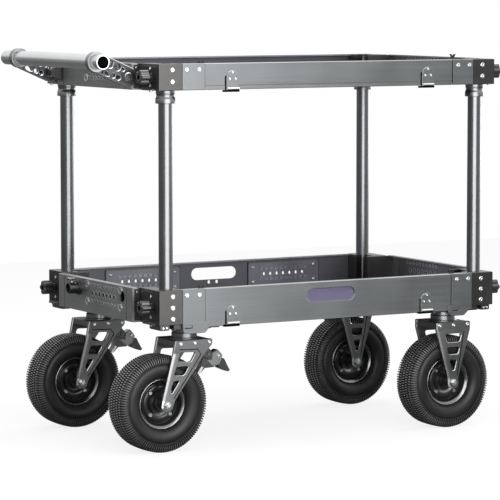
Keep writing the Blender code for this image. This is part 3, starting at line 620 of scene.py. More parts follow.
# %% Screw heads
HEADS = {
    "end_plate": (0.0058, 0.0022, 0.5, 12),
    "bracket": (0.0034, 0.0020, 0.5, 12),
    "backing": (0.0048, 0.0020, 0.2, 12),
    "panel_bolt": (0.0046, 0.0015, 0.5, 12),
    "panel_cheek": (0.0030, 0.0003, 0.5, 12),
    "hanger": (0.0034, 0.0020, 0.5, 12),
    "block": (0.0062, 0.0024, 0.5, 12),
    "block_end": (0.0042, 0.0018, 0.5, 12),
    "ledge": (0.0040, 0.0040, 0.5, 12),
    "caster": (0.0065, 0.0050, 0.5, 6),
    "fork": (0.0050, 0.0022, 0.5, 12),
    "rim": (0.0064, 0.0040, 0.4, 6),
    "brake_pin": (0.0048, 0.0030, 0.5, 12),
    "brake_grip": (0.0042, 0.0020, 0.5, 12),
    "hinge_top": (0.0040, 0.0020, 0.5, 12),
    "hinge_face": (0.0030, 0.0012, 0.5, 12),
}


def screws(spots, kind, paint="zinc"):
    """Screw heads of one kind at a list of (place, direction)."""
    radius, height, recess, sides = HEADS[kind]
    points = bpy.data.meshes.new("spots")
    points.from_pydata([place for place, aim in spots], [], [])
    aims = points.attributes.new("aim", "FLOAT_VECTOR", "POINT")
    for number, (place, aim) in enumerate(spots):
        aims.data[number].vector = aim
    return run_tree(
        points, SCREW_TREE, Radius=radius, Height=height, Recess=recess, Sides=sides, Finish=FINISH[paint]
    )


sample = screws([((0, 0, 0), (0, 0, 1))], "block")
print(len(HEADS), "kinds of head, and a round one has", len(sample.polygons), "faces")
bpy.data.meshes.remove(sample)

# %% [markdown]
# ## Perforated plate from a node tree
# The plates that carry accessories are drilled in rows. Here the plate is an outline made of edges,
# and each hole is a loose point that knows its radius. The tree puts a circle on every point,
# fills the outline with the circles left open, and gives the sheet its thickness.


# %% The plate tree
def closed_sheet(tree, sheet, thickness):
    """A flat sheet given a thickness, with a back face and its seams welded."""
    up = node(tree, "ShaderNodeCombineXYZ", Z=1.0).outputs[0]
    thick = node(
        tree, "GeometryNodeExtrudeMesh", Mesh=sheet, Offset=up, Offset_Scale=thickness, Individual=False
    ).outputs[0]
    back = node(tree, "GeometryNodeFlipFaces", Mesh=sheet).outputs[0]
    both = node(tree, "GeometryNodeJoinGeometry")
    tree.links.new(thick, both.inputs[0])
    tree.links.new(back, both.inputs[0])
    return node(tree, "GeometryNodeMergeByDistance", Geometry=both.outputs[0], Distance=2 * WELD).outputs[0]


def perforated_tree():
    """A sheet filled inside an outline, with a hole at every loose point, as wide as its radius says."""
    tree, given, out = new_tree("perforated_plate", {"Thickness": "Float", "Finish": "Material"})
    radius = node(tree, "GeometryNodeInputNamedAttribute", {"data_type": "FLOAT"}, Name="radius").outputs[0]
    is_hole = node(tree, "FunctionNodeCompare", {"operation": "GREATER_THAN"}, i0=radius, i1=0.0).outputs[0]
    rim = node(tree, "GeometryNodeMeshToCurve", Mesh=given["Geometry"]).outputs[0]
    round_hole = node(tree, "GeometryNodeCurvePrimitiveCircle", Resolution=12, Radius=1.0).outputs[0]
    holes = node(
        tree,
        "GeometryNodeInstanceOnPoints",
        Points=given["Geometry"],
        Selection=is_hole,
        Instance=round_hole,
        Scale=radius,
    )
    real = node(tree, "GeometryNodeRealizeInstances", Geometry=holes.outputs[0]).outputs[0]
    both = node(tree, "GeometryNodeJoinGeometry")
    tree.links.new(rim, both.inputs[0])
    tree.links.new(real, both.inputs[0])
    sheet = node(tree, "GeometryNodeFillCurve", Curve=both.outputs[0]).outputs[0]
    thick = closed_sheet(tree, sheet, given["Thickness"])
    done = node(tree, "GeometryNodeSetMaterial", Geometry=thick, Material=given["Finish"]).outputs[0]
    tree.links.new(done, out.inputs[0])
    return tree


PERFORATED_TREE = perforated_tree()
print("the plate tree has", len(PERFORATED_TREE.nodes), "nodes")


# %% Perforated plate
def perforated(outline, holes, axis, low, high, paint):
    """A drilled plate. Each hole is (place across, place up, radius)."""
    count = len(outline)
    sheet = bpy.data.meshes.new("sheet")
    points = [(a, b, 0) for a, b in outline] + [(a, b, 0) for a, b, radius in holes]
    sheet.from_pydata(points, [(i, (i + 1) % count) for i in range(count)], [])
    radii = sheet.attributes.new("radius", "FLOAT", "POINT")
    for number, hole in enumerate(holes):
        radii.data[count + number].value = hole[2]
    mesh = run_tree(sheet, PERFORATED_TREE, Thickness=high - low, Finish=FINISH[paint])
    mesh = painted(tidy(mesh), paint)
    mesh.transform(STANDS[axis])
    return moved(mesh, **{axis.lower(): high if axis == "Y" else low})


sample = perforated([(0, 0), (0.1, 0), (0.1, 0.1), (0, 0.1)], [(0.05, 0.05, 0.01)], "Z", 0, 0.002, "backing")
print("a plate with one hole has", len(sample.polygons), "faces")
bpy.data.meshes.remove(sample)

# %% Rows of holes and the rims round them
LARGE_ROW = (7, 0.0209)
SMALL_COUNT = 10
RIM_HEIGHT = 0.0004


def row_of(count, pitch, middle, height, radius):
    """A row of holes of one size."""
    return [(middle + (step - (count - 1) / 2) * pitch, height, radius) for step in range(count)]


def rims(holes, axis, place, width):
    """A thin bright ring round every hole, painting the highlight on its edge.
    The holes are (across, up, radius).
    """
    made = []
    for across, up, radius in holes:
        ring = [(radius, 0), (radius, RIM_HEIGHT), (radius + width, RIM_HEIGHT), (radius + width, 0)]
        spot = {"x": place, "y": across, "z": up} if axis == "X" else {"x": across, "y": place, "z": up}
        # The ring's bright finish paints the highlight on the hole's edge
        made.append(moved(turned(ring, axis, 12, "edge", closed=True), **spot))
    return made


print("a large row spans", round((LARGE_ROW[0] - 1) * LARGE_ROW[1] * 1000), "mm")

# %% [markdown]
# ## Side rails
# Each tray has two long rails, extruded as a channel: a tall web, a lip that turns in at the top
# and a flange at the foot that carries the deck. The upper rail has a thin line rolled near its
# foot. The lower one is deeper, its face drops below the flange, and it has a hand slot. The web
# is darker on its inner side, and a lighter finish along the rail's top is a painted highlight.
# The section is pushed along X, as a die does it, and a Boolean is kept for the openings, which
# run across it. Plates, brackets and screws follow, all drawn for the left side and mirrored to
# the right.

# %% Bare rails
WEB = 0.005
SKIN = 0.004
LIP = 0.016
FLANGE = 0.026
RAIL_OUT = SIDE_Y - 0.002
RAIL_IN = RAIL_OUT - WEB
RAIL_HALF = BLOCK_INNER_X - 0.0003
RAIL_DROP = 0.010
THROUGH = (0.30, 0.34)
HAND_SLOT = (0.144, 0.034)
HAND_SLOT_UP = 0.054
SLOT_EASE = 0.0017


def rail_section(height, rolled_line):
    """The channel's outline as (y, z), for the +Y side and from its lower edge."""
    foot = 0 if rolled_line else -RAIL_DROP
    outline = [(RAIL_OUT - 0.001, foot), (RAIL_OUT, foot + 0.001)]
    if rolled_line:
        outline += [(RAIL_OUT, 0.0095), (RAIL_OUT - 0.001, 0.0100), (RAIL_OUT - 0.001, 0.0112)]
        outline += [(RAIL_OUT - 0.0003, 0.0118)]
    outline += [
        (RAIL_OUT - 0.0003 * rolled_line, height - 0.0012),
        (RAIL_OUT - 0.0012, height),
        (RAIL_OUT - LIP, height),
        (RAIL_OUT - LIP, height - SKIN),
        (RAIL_IN, height - SKIN),
        (RAIL_IN, SKIN),
        (RAIL_OUT - FLANGE, SKIN),
        (RAIL_OUT - FLANGE, 0),
    ]
    if not rolled_line:
        outline += [(RAIL_OUT - 0.0035, 0), (RAIL_OUT - 0.0035, foot)]
    return outline


def side_rail(tray):
    """The bare rail for the +Y side, its inner faces in the darker finish and its top in a lighter one
    that paints a highlight.
    """
    bottom, height = TRAYS[tray]
    outline = [(y, bottom + z) for y, z in rail_section(height, tray == "upper")]
    rail = plate([outline], "X", -RAIL_HALF, RAIL_HALF)
    if tray == "lower":
        middle = (0, bottom + HAND_SLOT_UP)
        through = plate([slot_points(*HAND_SLOT, middle)], "Y", *THROUGH)
        wide, tall = (size + 2 * SLOT_EASE for size in HAND_SLOT)
        eased = plate([slot_points(wide, tall, middle)], "Y", RAIL_OUT - 0.0015, THROUGH[1], 0.0015)
        rail = cut(rail, [through, eased])
    rail = painted(rail, "rail", "inside", "lip_highlight")
    # Faces along the top take the lighter finish that paints their highlight
    for face in rail.polygons:
        if face.center.z > bottom + height - 0.0045:
            face.material_index = 2
        else:
            face.material_index = int(face.normal.y < -0.9)
    return rail


print("a rail is", round(2 * RAIL_HALF * 1000), "mm long")

# %% End plates
PLATE_END = 0.441
SKIRT_DROP = 0.0245
SKIRT_SLOT = (0.0230, 0.0075)
SKIRT_SLOT_X = {"handle": 0.4240, "nose": 0.3880}


def end_plate(tray, x_sign):
    """The plate beside a corner block, and a black strip at its inner edge that paints the seam's
    shade. The lower tray's drops below the rail, as a slotted skirt that is rounded at the handle
    end and sloped at the nose."""
    bottom, height = TRAYS[tray]
    top = bottom + height
    slots = []
    if tray == "lower":
        foot = bottom - SKIRT_DROP
        if x_sign > 0:
            outline = [(PLATE_END, bottom), (0.4190, foot + 0.002), (0.4150, foot)]
        else:
            outline = [(PLATE_END, foot + 0.012), (0.4385, foot + 0.004), (0.4320, foot)]
        outline += [(0.3765, foot), (0.3655, foot + 0.011), (0.3655, bottom + 0.0035)]
        outline += [(SEAM_X, bottom + 0.0035)]
        slot_x = SKIRT_SLOT_X["nose" if x_sign > 0 else "handle"]
        slots.append(slot_points(*SKIRT_SLOT, (slot_x, bottom - 0.0080)))
    else:
        outline = [(PLATE_END, bottom + 0.0007), (SEAM_X, bottom + 0.0007)]
    outline += [(SEAM_X, top - 0.0004), (PLATE_END, top - 0.0004)]
    face = plate([outline] + slots, "Y", RAIL_OUT - 0.0028, SIDE_Y, 0.0006)
    # A black strip paints the shade in the seam
    seam_low = (SEAM_X - 0.0014, RAIL_OUT - 0.001, bottom + 0.005)
    seam = bar(seam_low, (SEAM_X, RAIL_OUT + 0.0002, top - 0.002), 0, "dark")
    return [mirrored(mesh, x_sign) for mesh in (face, seam)]


print("a skirt drops", SKIRT_DROP * 1000, "mm below its rail")

# %% Strap brackets
BRACKET_X = 0.296
BRACKET_HALF = 0.018
BRACKET_TOP = {"lower": 0.042, "upper": 0.049}
BRACKET_FOOT = {"lower": -0.0125, "upper": -0.006}


def strap_bracket(tray, x):
    """The D-shaped bracket on the rail's face, its chamfer in a painted highlight, with its slit
    painted black as shade, its bright bar and its black hook.
    """
    bottom = TRAYS[tray][0]
    top = bottom + BRACKET_TOP[tray]
    foot = bottom + BRACKET_FOOT[tray]
    head = arc_points(BRACKET_HALF, (x, top - BRACKET_HALF), 0, 180, 16)
    outline = [(x + BRACKET_HALF, foot)] + head + [(x - BRACKET_HALF, foot)]
    # The bracket's chamfers take the lighter finish that paints their highlight
    face = plate([outline], "Y", RAIL_OUT - 0.002, SIDE_Y + 0.0005, 0.0008, "rail", "lip_highlight")
    # A black strip paints the shade in the slit beside the bracket
    slit_low = (x - 0.0207, RAIL_OUT, foot + 0.004)
    slit = bar(slit_low, (x - 0.0179, SIDE_Y, top - 0.014), 0.0004, "dark")
    bright = moved(rod(0.0036, x - 0.015, x + 0.019, "X"), y=SIDE_Y + 0.0002, z=foot + 0.0086)
    hook_low = (x - 0.026, RAIL_OUT - 0.006, foot)
    hook = bar(hook_low, (x + 0.019, SIDE_Y + 0.0035, foot + 0.0050), 0.0010, "dark")
    return [face, slit, bright, hook]


print("brackets stand", BRACKET_X * 1000, "mm to each side of a rail's middle")

# %% Drilled plates inside the lower rails
BACKING_SPAN = (0.110, 0.340)
BACKING_UP = (0.013, 0.076)
BACKING_LARGE = (0.0445, 0.0052)
BACKING_SMALL = ((0.0585, 0.0022), (0.0305, 0.0022))
BACKING_PITCH = 0.0160
BACKING_RIM = 0.0013
SLIT_HALF = 0.0020


def backing_plate(x_sign):
    """A drilled plate on the inner side of the lower rail, between two slits painted black as shade,
    with a ring of painted highlight round each small hole, and its holes.
    """
    bottom = TRAYS["lower"][0]
    low, high = sorted(x_sign * reach for reach in BACKING_SPAN)
    foot, top = (bottom + up for up in BACKING_UP)
    middle = (low + high) / 2
    holes = row_of(*LARGE_ROW, middle, bottom + BACKING_LARGE[0], BACKING_LARGE[1])
    for up, radius in BACKING_SMALL:
        holes += row_of(SMALL_COUNT, BACKING_PITCH, middle, bottom + up, radius)
    outline = [(low, foot), (high, foot), (high, top), (low, top)]
    sheet = perforated(outline, holes, "Y", RAIL_IN - 0.0025, RAIL_IN - 0.0003, "backing")
    parts = [sheet] + rims(holes[LARGE_ROW[0]:], "Y", RAIL_IN - 0.0028, BACKING_RIM)
    # A black strip at each end paints the shade in the slit
    for edge in (low, high):
        slit_low = (edge - SLIT_HALF, RAIL_IN - 0.0012, foot - 0.001)
        parts.append(bar(slit_low, (edge + SLIT_HALF, RAIL_IN + 0.001, top + 0.002), 0, "dark"))
    return parts, holes


print("a drilled plate is", round((BACKING_SPAN[1] - BACKING_SPAN[0]) * 1000), "mm long")

# %% Thumb screws
WINGS = [(0, -0.010), (0.003, -0.010), (0.0085, -0.002), (0.0075, 0), (0.0045, 0), (0, -0.0055)]
WINGS += [(-0.0045, 0), (-0.0075, 0), (-0.0085, -0.002), (-0.003, -0.010)]
THUMB_SCREWS = {
    "lower": ((-SEAM_X, 0.0060), (SEAM_X + 0.013, 0.0080)),
    "upper": ((-SEAM_X, 0.0060), (SEAM_X + 0.013, 0.0140)),
}


def thumb_screw(tray, x, rise):
    """A black thumb screw inside the near rail, its two wings standing out of the tray as a V."""
    top = sum(TRAYS[tray])
    y = RAIL_OUT - 0.021
    tip = top + rise
    stem = moved(rod(0.0028, top - 0.020, tip - 0.007, paint="cover"), x=x, y=y)
    outline = [(x + aside, tip + up) for aside, up in WINGS]
    return [stem, plate([outline], "Y", y - 0.0025, y + 0.0025, 0.0006, "cover")]


print("a thumb screw's wings are", WINGS[2][0] * 2000, "mm across")

# %% Screws of the rails
END_SCREWS_X = (-0.429, -0.393, 0.393, 0.429)
BRACKET_SCREWS_UP = {"lower": 0.0200, "upper": 0.0270}
BACKING_SCREWS = [(x, up) for x in (-0.324, -0.1255, 0.1255, 0.324) for up in (0.0225, 0.0645)]


def rail_screws(tray):
    """The screws of the end plates, the strap brackets and, on the lower rail, the inner side."""
    bottom, height = TRAYS[tray]
    out = (0, 1, 0)
    large = [((x, SIDE_Y, bottom + height - 0.0155), out) for x in END_SCREWS_X]
    small = []
    middle = bottom + BRACKET_SCREWS_UP[tray]
    for x in (-BRACKET_X, BRACKET_X):
        for aside, up in ((0, 0.0165), (-0.0085, 0), (0.0085, 0)):
            small.append(((x + aside, SIDE_Y + 0.0005, middle + up), out))
    made = [screws(large, "end_plate"), screws(small, "bracket")]
    if tray == "lower":
        inside = [((x, RAIL_IN - 0.0025, bottom + up), (0, -1, 0)) for x, up in BACKING_SCREWS]
        made.append(screws(inside, "backing"))
    return made


print("a rail's face has", len(END_SCREWS_X), "large screws and 6 small ones")

# %% Rails on the cart
PAIR_X = (-0.015, 0.010)
PAIR_UP = 0.030
PAIR_RADIUS = 0.0052


def drilled(rail, holes):
    """The rail with round holes right through its web."""
    rods = [moved(rod(radius, *THROUGH, "Y", 12), x=x, z=z) for x, z, radius in holes]
    return cut(rail, [joined("drills", rods)])


for tray in TRAYS:
    for side, y_sign in SIDES.items():
        rail = side_rail(tray)
        parts = end_plate(tray, -1) + end_plate(tray, 1)
        if side == "right":
            for x, rise in THUMB_SCREWS[tray]:
                parts += thumb_screw(tray, x, rise)
        for x in (-BRACKET_X, BRACKET_X):
            parts += strap_bracket(tray, x)
        if tray == "lower":
            open_holes = []
            for x_sign in (-1, 1):
                made, holes = backing_plate(x_sign)
                parts += made
                open_holes += holes[:LARGE_ROW[0]]
            if side == "left":
                open_holes += [(x, TRAYS[tray][0] + PAIR_UP, PAIR_RADIUS) for x in PAIR_X]
                rail = drilled(rail, open_holes)
        meshes = [mirrored(mesh, 1, y_sign) for mesh in [rail] + parts + rail_screws(tray)]
        piece(f"{tray}_side_{side}", TRAY_BODY[tray], meshes, [f"{tray}_rail_{side}"])
show_made("side")

# %% [markdown]
# ## End panels
# The panels across the ends stand further out than the corner blocks. Each has a row of large
# holes between two rows of small ones, round ports, four bolts with a ring round them, and a
# narrow strip folded at each side. A sheet behind the rows closes them, and its outer face is
# painted black as the shade inside the holes. The lower panels have two ports and the upper ones
# have one. The channel's outline can't hold the holes, because they run across it, so one Boolean
# drills them all. The panels are drawn for the handle end, and the nose's are turned by half.

# %% Panels
PANEL_HALF = 0.216
PANEL_WEB = 0.005
ROW_UP = 0.61
ROWS_APART = 0.0215
LARGE_HOLES = (-0.049, 0.0060)
SMALL_HOLES = (-0.0531, 0.0034)
SMALL_PITCH = 0.0166
PORT_UP = 0.061
PORTS = {"lower": [(-0.157, 0.0146), (0.097, 0.0125)], "upper": [(-0.157, 0.0146)]}


def panel_section(height):
    """The channel's outline as (x, z), for the handle end."""
    out = -PANEL_X
    inner = out + PANEL_WEB
    return [
        (out, 0.001),
        (out + 0.001, 0),
        (out + FLANGE, 0),
        (out + FLANGE, SKIN),
        (inner, SKIN),
        (inner, height - SKIN),
        (out + LIP, height - SKIN),
        (out + LIP, height),
        (out + 0.0012, height),
        (out, height - 0.0012),
    ]


def panel_measures(tray):
    """The lower edge, the height, the height against the lower panel's, and the middle row's z."""
    bottom, height = TRAYS[tray]
    return bottom, height, height / TRAYS["lower"][1], bottom + ROW_UP * height


def panel_web(tray):
    """The drilled panel, a sheet behind its rows whose outer face is painted black as the holes' shade,
    and a ring of painted highlight round every hole of the rows.
    """
    bottom, height, scale, row_z = panel_measures(tray)
    outline = [(x, bottom + z) for x, z in panel_section(height)]
    web = plate([outline], "Y", -PANEL_HALF, PANEL_HALF)
    rows = row_of(*LARGE_ROW, LARGE_HOLES[0], row_z, LARGE_HOLES[1])
    for up in (ROWS_APART, -ROWS_APART):
        rows += row_of(SMALL_COUNT, SMALL_PITCH, SMALL_HOLES[0], row_z + up * scale, SMALL_HOLES[1])
    ports = [(y, bottom + PORT_UP * scale, radius) for y, radius in PORTS[tray]]
    drills = [moved(rod(radius, -0.56, -0.52, "X", 14), y=y, z=z) for y, z, radius in rows + ports]
    web = painted(cut(web, [joined("drills", drills)]), "panel")
    inner = -PANEL_X + PANEL_WEB
    # The sheet's outer face is painted black as the shade inside the holes
    shade_sheet_low = (inner - 0.0004, -0.176, row_z - 0.027 * scale)
    shade_sheet = bar(shade_sheet_low, (inner + 0.0016, 0.112, row_z + 0.027 * scale), 0.0004, "dark")
    shade_sheet.materials.append(FINISH["backing"])
    for face in shade_sheet.polygons:
        face.material_index = 2 * int(face.normal.x > 0.9)
    outer = rims(rows, "X", -PANEL_X - 0.0003, 0.0018)
    return [web, shade_sheet] + outer + rims(rows, "X", inner + 0.0014, 0.0015)


print("the rows stand", round(ROW_UP * 100), "% of the way up a panel")

# %% Panels' sides and ring bolts
RING_BOLT_Y = (-0.1465, 0.045)
RING = [(0.0066, 0), (0.0066, 0.0013), (0.0084, 0.0017), (0.0102, 0.0013), (0.0102, 0)]


def panel_cheeks(tray):
    """The strip folded at each side of a panel, and a black strip next to it that paints the seam's shade."""
    bottom, height = TRAYS[tray]
    foot, top = bottom + 0.0007, bottom + height - 0.0007
    near, far = -PANEL_X + 0.0007, -BLOCK_INNER_X
    cheek = [(near, foot), (far, foot), (far, top), (near, top)]
    parts = []
    for y_sign in SIDES.values():
        low, high = sorted((y_sign * (PANEL_HALF - 0.008), y_sign * (PANEL_HALF - 0.0007)))
        parts.append(plate([cheek], "Y", low, high, 0.0005, "block"))
        # A black strip paints the shade in the seam beside the folded strip
        low, high = sorted((y_sign * 0.1803, y_sign * 0.1815))
        seam_low = (-PANEL_X - 0.0002, low, bottom + 0.002)
        parts.append(bar(seam_low, (-PANEL_X + 0.002, high, bottom + height - 0.002), 0, "dark"))
    return parts


def ring_bolts(tray):
    """Four bolts with a bright ring round each."""
    bottom, height, scale, row_z = panel_measures(tray)
    spots = [(y, row_z + up * scale) for y in RING_BOLT_Y for up in (-0.0235, 0.0215)]
    parts = []
    for y, z in spots:
        ring = turned(RING, "X", 24, "edge", closed=True)
        parts.append(moved(ring, x=-PANEL_X - 0.0013, y=y, z=z))
    heads = [((-PANEL_X, y, z), (-1, 0, 0)) for y, z in spots]
    parts.append(screws(heads, "panel_bolt", "steel"))
    return parts


def cheek_screws(tray):
    """The small screw in each folded strip."""
    top = sum(TRAYS[tray])
    spots = [((-0.516, y_sign * (PANEL_HALF - 0.0007), top - 0.012), (0, y_sign, 0)) for y_sign in (-1, 1)]
    return screws(spots, "panel_cheek")


for tray in TRAYS:
    for end, x_sign in ENDS.items():
        panel = panel_web(tray) + panel_cheeks(tray) + ring_bolts(tray) + [cheek_screws(tray)]
        turned_round = [mirrored(mesh, -x_sign, -x_sign) for mesh in panel]
        piece(f"{tray}_end_{end}", TRAY_BODY[tray], turned_round, [f"{tray}_end_panel_{end}"])
show_made("_end_")

# %% [markdown]
# ## Trays' floors
# A sheet lies on the flanges, notched round the corner blocks. The ribbed mat on it is a little
# smaller, so a dark border of the sheet shows all round. The notches are drawn in the outline and
# not cut afterwards, so their edges are chamfered with the others.

# %% Trays' floors
SHEET = (0.3045, 0.5135, 0.4415, 0.2075)
MAT = (0.2950, 0.5050, 0.4340, 0.2000)


def notched(side, end, notch_x, notch_y):
    """A rectangle with its four corners cut out."""
    quarter = [(end, notch_y), (notch_x, notch_y), (notch_x, side)]
    outline = list(quarter)
    outline += [(-x, y) for x, y in reversed(quarter)]
    outline += [(-x, -y) for x, y in quarter]
    outline += [(x, -y) for x, y in reversed(quarter)]
    return outline


for tray, (bottom, height) in TRAYS.items():
    sheet = plate([notched(*SHEET)], "Z", bottom + 0.0043, bottom + 0.0073, 0.0004, "inside")
    mat = plate([notched(*MAT)], "Z", bottom + 0.0071, bottom + 0.0083, 0.0004, "mat")
    piece(f"{tray}_floor", TRAY_BODY[tray], [sheet, mat], [f"{tray}_deck"])
show_made("floor")

# %% [markdown]
# ## Corner blocks
# A block stands at each corner and clamps the upright that passes through it. Its long face is
# bolted to the rail, its end face carries the star knob on a flat black cover, and a small ledge
# below takes a bolt. It is hollow towards the inside of the tray, with three ribs in the hollow.
# The bore is a hole in the block's outline, so its rim is chamfered too. The hollow is a Boolean.

# %% A block and its cover
TUBE_BORE = 0.0184
POCKET_SILL = {"lower": 0.009, "upper": 0.004}
COVER_FROM = BLOCK_END_X - 0.0005
COVER_TO = BLOCK_END_X + 0.0012


def block_body(tray):
    """The clamped block at the front left, bored for the tube, hollowed, and shut at one end."""
    bottom, height = TRAYS[tray]
    top = bottom + height
    outline = [(BLOCK_INNER_X, BLOCK_INNER_Y), (BLOCK_END_X, BLOCK_INNER_Y)]
    outline += [(BLOCK_END_X, SIDE_Y), (BLOCK_INNER_X, SIDE_Y)]
    body = plate([outline, ring_points(TUBE_BORE, 32, POST)], "Z", bottom, top, 0.0009, "block")
    pocket_low = (BLOCK_INNER_X - 0.01, BLOCK_INNER_Y + 0.004, bottom + POCKET_SILL[tray])
    body = cut(body, [bar(pocket_low, (POST[0] - 0.002, 0.270, top + 0.01), 0)])
    shut = bottom + 0.009 if tray == "lower" else top - 0.0075
    floor = moved(rod(TUBE_BORE, shut - 0.001, shut, paint="block"), x=POST[0], y=POST[1])
    return [body, floor]


def block_cover(tray):
    """The cover on the end face, open round the knob's neck."""
    bottom, height = TRAYS[tray]
    low, high = bottom + 0.008, bottom + height - 0.008
    face = [(0.228, low), (0.316, low), (0.316, high), (0.228, high)]
    seat = ring_points(0.0125, 24, (POST[1], bottom + height / 2))
    return plate([rounded(face, 0.004), seat], "X", COVER_FROM, COVER_TO, 0.0005, "cover")


print("a block's bore is", TUBE_BORE * 2000, "mm wide")

# %% Whole corner blocks
BLOCK_BOLTS = {"upper": (0.0521, 0.0220), "lower": (0.0722, 0.0437, 0.0151)}
END_BOLTS = {"upper": 0.0215, "lower": 0.0265}
RIB_Y = (0.2740, 0.2900, 0.3060)


def hanger(bottom):
    """The black hanger under a lower block, with two screws in its long face."""
    low = (POST[0] + 0.006, 0.256, bottom - 0.014)
    body = bar(low, (BLOCK_END_X - 0.006, 0.316, bottom + 0.001), 0.0020, "plastic")
    spots = [((POST[0] + aside, 0.316, bottom - 0.007), (0, 1, 0)) for aside in (0.014, 0.024)]
    return [body, screws(spots, "hanger")]


def corner_block(tray):
    """Everything at a tray's front left corner."""
    bottom, height = TRAYS[tray]
    ledge = bar((POST[0], 0.247, bottom), (BLOCK_END_X + 0.010, 0.305, bottom + 0.005), 0.0008, "plastic")
    parts = block_body(tray) + [ledge]
    if tray == "lower":
        parts += hanger(bottom)
    parts.append(block_cover(tray))
    for y in RIB_Y:
        low = (BLOCK_INNER_X - 0.0015, y, bottom + 0.010)
        high = (BLOCK_INNER_X + 0.001, y + 0.004, bottom + height - 0.006)
        parts.append(bar(low, high, 0.0004, "block"))
    bolts = [((POST[0], SIDE_Y, bottom + up), (0, 1, 0)) for up in BLOCK_BOLTS[tray]]
    parts.append(screws(bolts, "block"))
    middle = bottom + height / 2
    reach = END_BOLTS[tray]
    ends = [((COVER_TO, 0.279, middle + sign * reach), (1, 0, 0)) for sign in (-1, 1)]
    parts.append(screws(ends, "block_end"))
    parts.append(screws([((BLOCK_END_X + 0.005, 0.288, bottom), (0, 0, -1))], "ledge"))
    return parts


for tray in TRAYS:
    parts = corner_block(tray)
    for corner, signs in CORNERS.items():
        placed = [mirrored(mesh, *signs) for mesh in parts]
        node_name = f"{tray}_corner_block_{corner}"
        piece(f"{tray}_corner_{corner}", TRAY_BODY[tray], placed, [node_name])
show_made("corner")

# %% [markdown]
# ## Uprights
# Four polished tubes with a collar under the upper block. The collar narrows at its waist, and
# a band with a small chamfer closes it below. One turned profile makes the tube and its collar
# together. Two joined cylinders would leave a wall between them that nobody sees.

# %% Uprights
POST_FOOT = TRAYS["lower"][0] + 0.0103
POST_TOP = sum(TRAYS["upper"]) - 0.010
COLLAR_TOP = TRAYS["upper"][0] - 0.0003
upright = [
    (0.0155, POST_FOOT),
    (0.0175, POST_FOOT),
    (0.0180, POST_FOOT + 0.0005),
    (0.0180, COLLAR_TOP - 0.0330),
    (0.0248, COLLAR_TOP - 0.0330),
    (0.0255, COLLAR_TOP - 0.0322),
    (0.0255, COLLAR_TOP - 0.0215),
    (0.0251, COLLAR_TOP - 0.0205),
    (0.0234, COLLAR_TOP - 0.0165),
    (0.0230, COLLAR_TOP - 0.0140),
    (0.0232, COLLAR_TOP - 0.0110),
    (0.0242, COLLAR_TOP - 0.0075),
    (0.0245, COLLAR_TOP - 0.0060),
    (0.0245, COLLAR_TOP - 0.0008),
    (0.0237, COLLAR_TOP),
    (0.0180, COLLAR_TOP),
    (0.0180, POST_TOP - 0.0005),
    (0.0175, POST_TOP),
    (0.0155, POST_TOP),
]
for corner, (x_sign, y_sign) in CORNERS.items():
    tube = turned(upright, "Z", 64, "post", closed=True)
    moved(tube, x=x_sign * POST[0], y=y_sign * POST[1])
    piece(f"upright_{corner}", "uprights", [tube], [f"post_{corner}"])
show_made("upright")

# %% [markdown]
# ## Star knobs
# Five soft lobes, moulded in black plastic, on a short neck. A dark cap closes the middle. One
# cosine round the circle gives the lobes, and a power below one makes them broad and the valleys
# between them narrow, as the mould has them.

# %% Star knobs
NECK = [(0, -0.019), (0.004, -0.019), (0.004, 0.0003), (0.0105, 0.0003)]
NECK += [(0.0105, 0.0030), (0.0088, 0.0036), (0.0088, 0.0126), (0, 0.0126)]


def star_points(outer, inner, lobes, steps):
    """A ring of soft lobes between two radii."""
    points = []
    for step in range(steps):
        angle = 2 * math.pi * step / steps
        swell = (0.5 + 0.5 * math.cos(lobes * angle)) ** 0.55
        radius = inner + (outer - inner) * swell
        points.append((radius * math.cos(angle), radius * math.sin(angle)))
    return points


def star_knob(tray):
    """The knob at a tray's front left corner."""
    bottom, height = TRAYS[tray]
    head = plate([star_points(0.0193, 0.0138, 5, 80)], "X", 0.0123, 0.0383, 0.0022, "plastic")
    neck = turned(NECK, "X", 32, "plastic")
    cap = rod(0.0062, 0.0375, 0.0383, "X", 24, 0.0004, "dark")
    return [moved(mesh, x=BLOCK_END_X, y=POST[1], z=bottom + height / 2) for mesh in (head, neck, cap)]


for tray in TRAYS:
    for corner, signs in CORNERS.items():
        made = [mirrored(mesh, *signs) for mesh in star_knob(tray)]
        knob = f"{tray}_knob_{corner}"
        piece(f"{tray}_star_knob_{corner}", knob, made, [knob])
show_made("knob")

# %% [markdown]
# ## Caster plates and forks
# A plate with a round boss hangs under each corner of the lower tray. The forks below it are two
# cut plates with three windows each, joined by a crown. The swivelling ones lean back, and a
# groove follows the leg's outline, its inside painted black as shade. Their edges are machined
# bright and painted brighter still as a highlight, and a duller strip paints the highlight along
# the front edge. The windows are holes in the outline. The groove doesn't go through the leg, so
# a Boolean cuts it.

# %% Caster plates
CASTER = (0.397, 0.247)
AXLE_Z = 0.125914
TRAIL = 0.078
PLATE_TOP = TRAYS["lower"][0] - 0.0003
PLATE_FOOT = PLATE_TOP - 0.013
BOSS = [(0, PLATE_TOP - 0.010), (0.031, PLATE_TOP - 0.010), (0.031, 0.3060)]
BOSS += [(0.0303, 0.3053), (0.0098, 0.3053), (0.0098, 0.2813), (0, 0.2813)]


def caster_plate():
    """The plate and boss for the front left corner, with its four hex bolts."""
    x, y = CASTER
    slab = bar((x - 0.066, y - 0.050, PLATE_FOOT), (x + 0.066, y + 0.0687, PLATE_TOP), 0.0012, "block")
    hub = moved(turned(BOSS, "Z", 48, "post"), x=x, y=y)
    spots = [(x + a * 0.052, y + b * 0.038, PLATE_FOOT) for a in (-1, 1) for b in (-1, 1)]
    return [slab, hub, screws([(spot, (0, 0, -1)) for spot in spots], "caster")]


for corner, signs in CORNERS.items():
    placed = [mirrored(mesh, *signs) for mesh in caster_plate()]
    piece(f"caster_plate_{corner}", "base", placed, [f"caster_mount_{corner}"])
show_made("caster_plate")

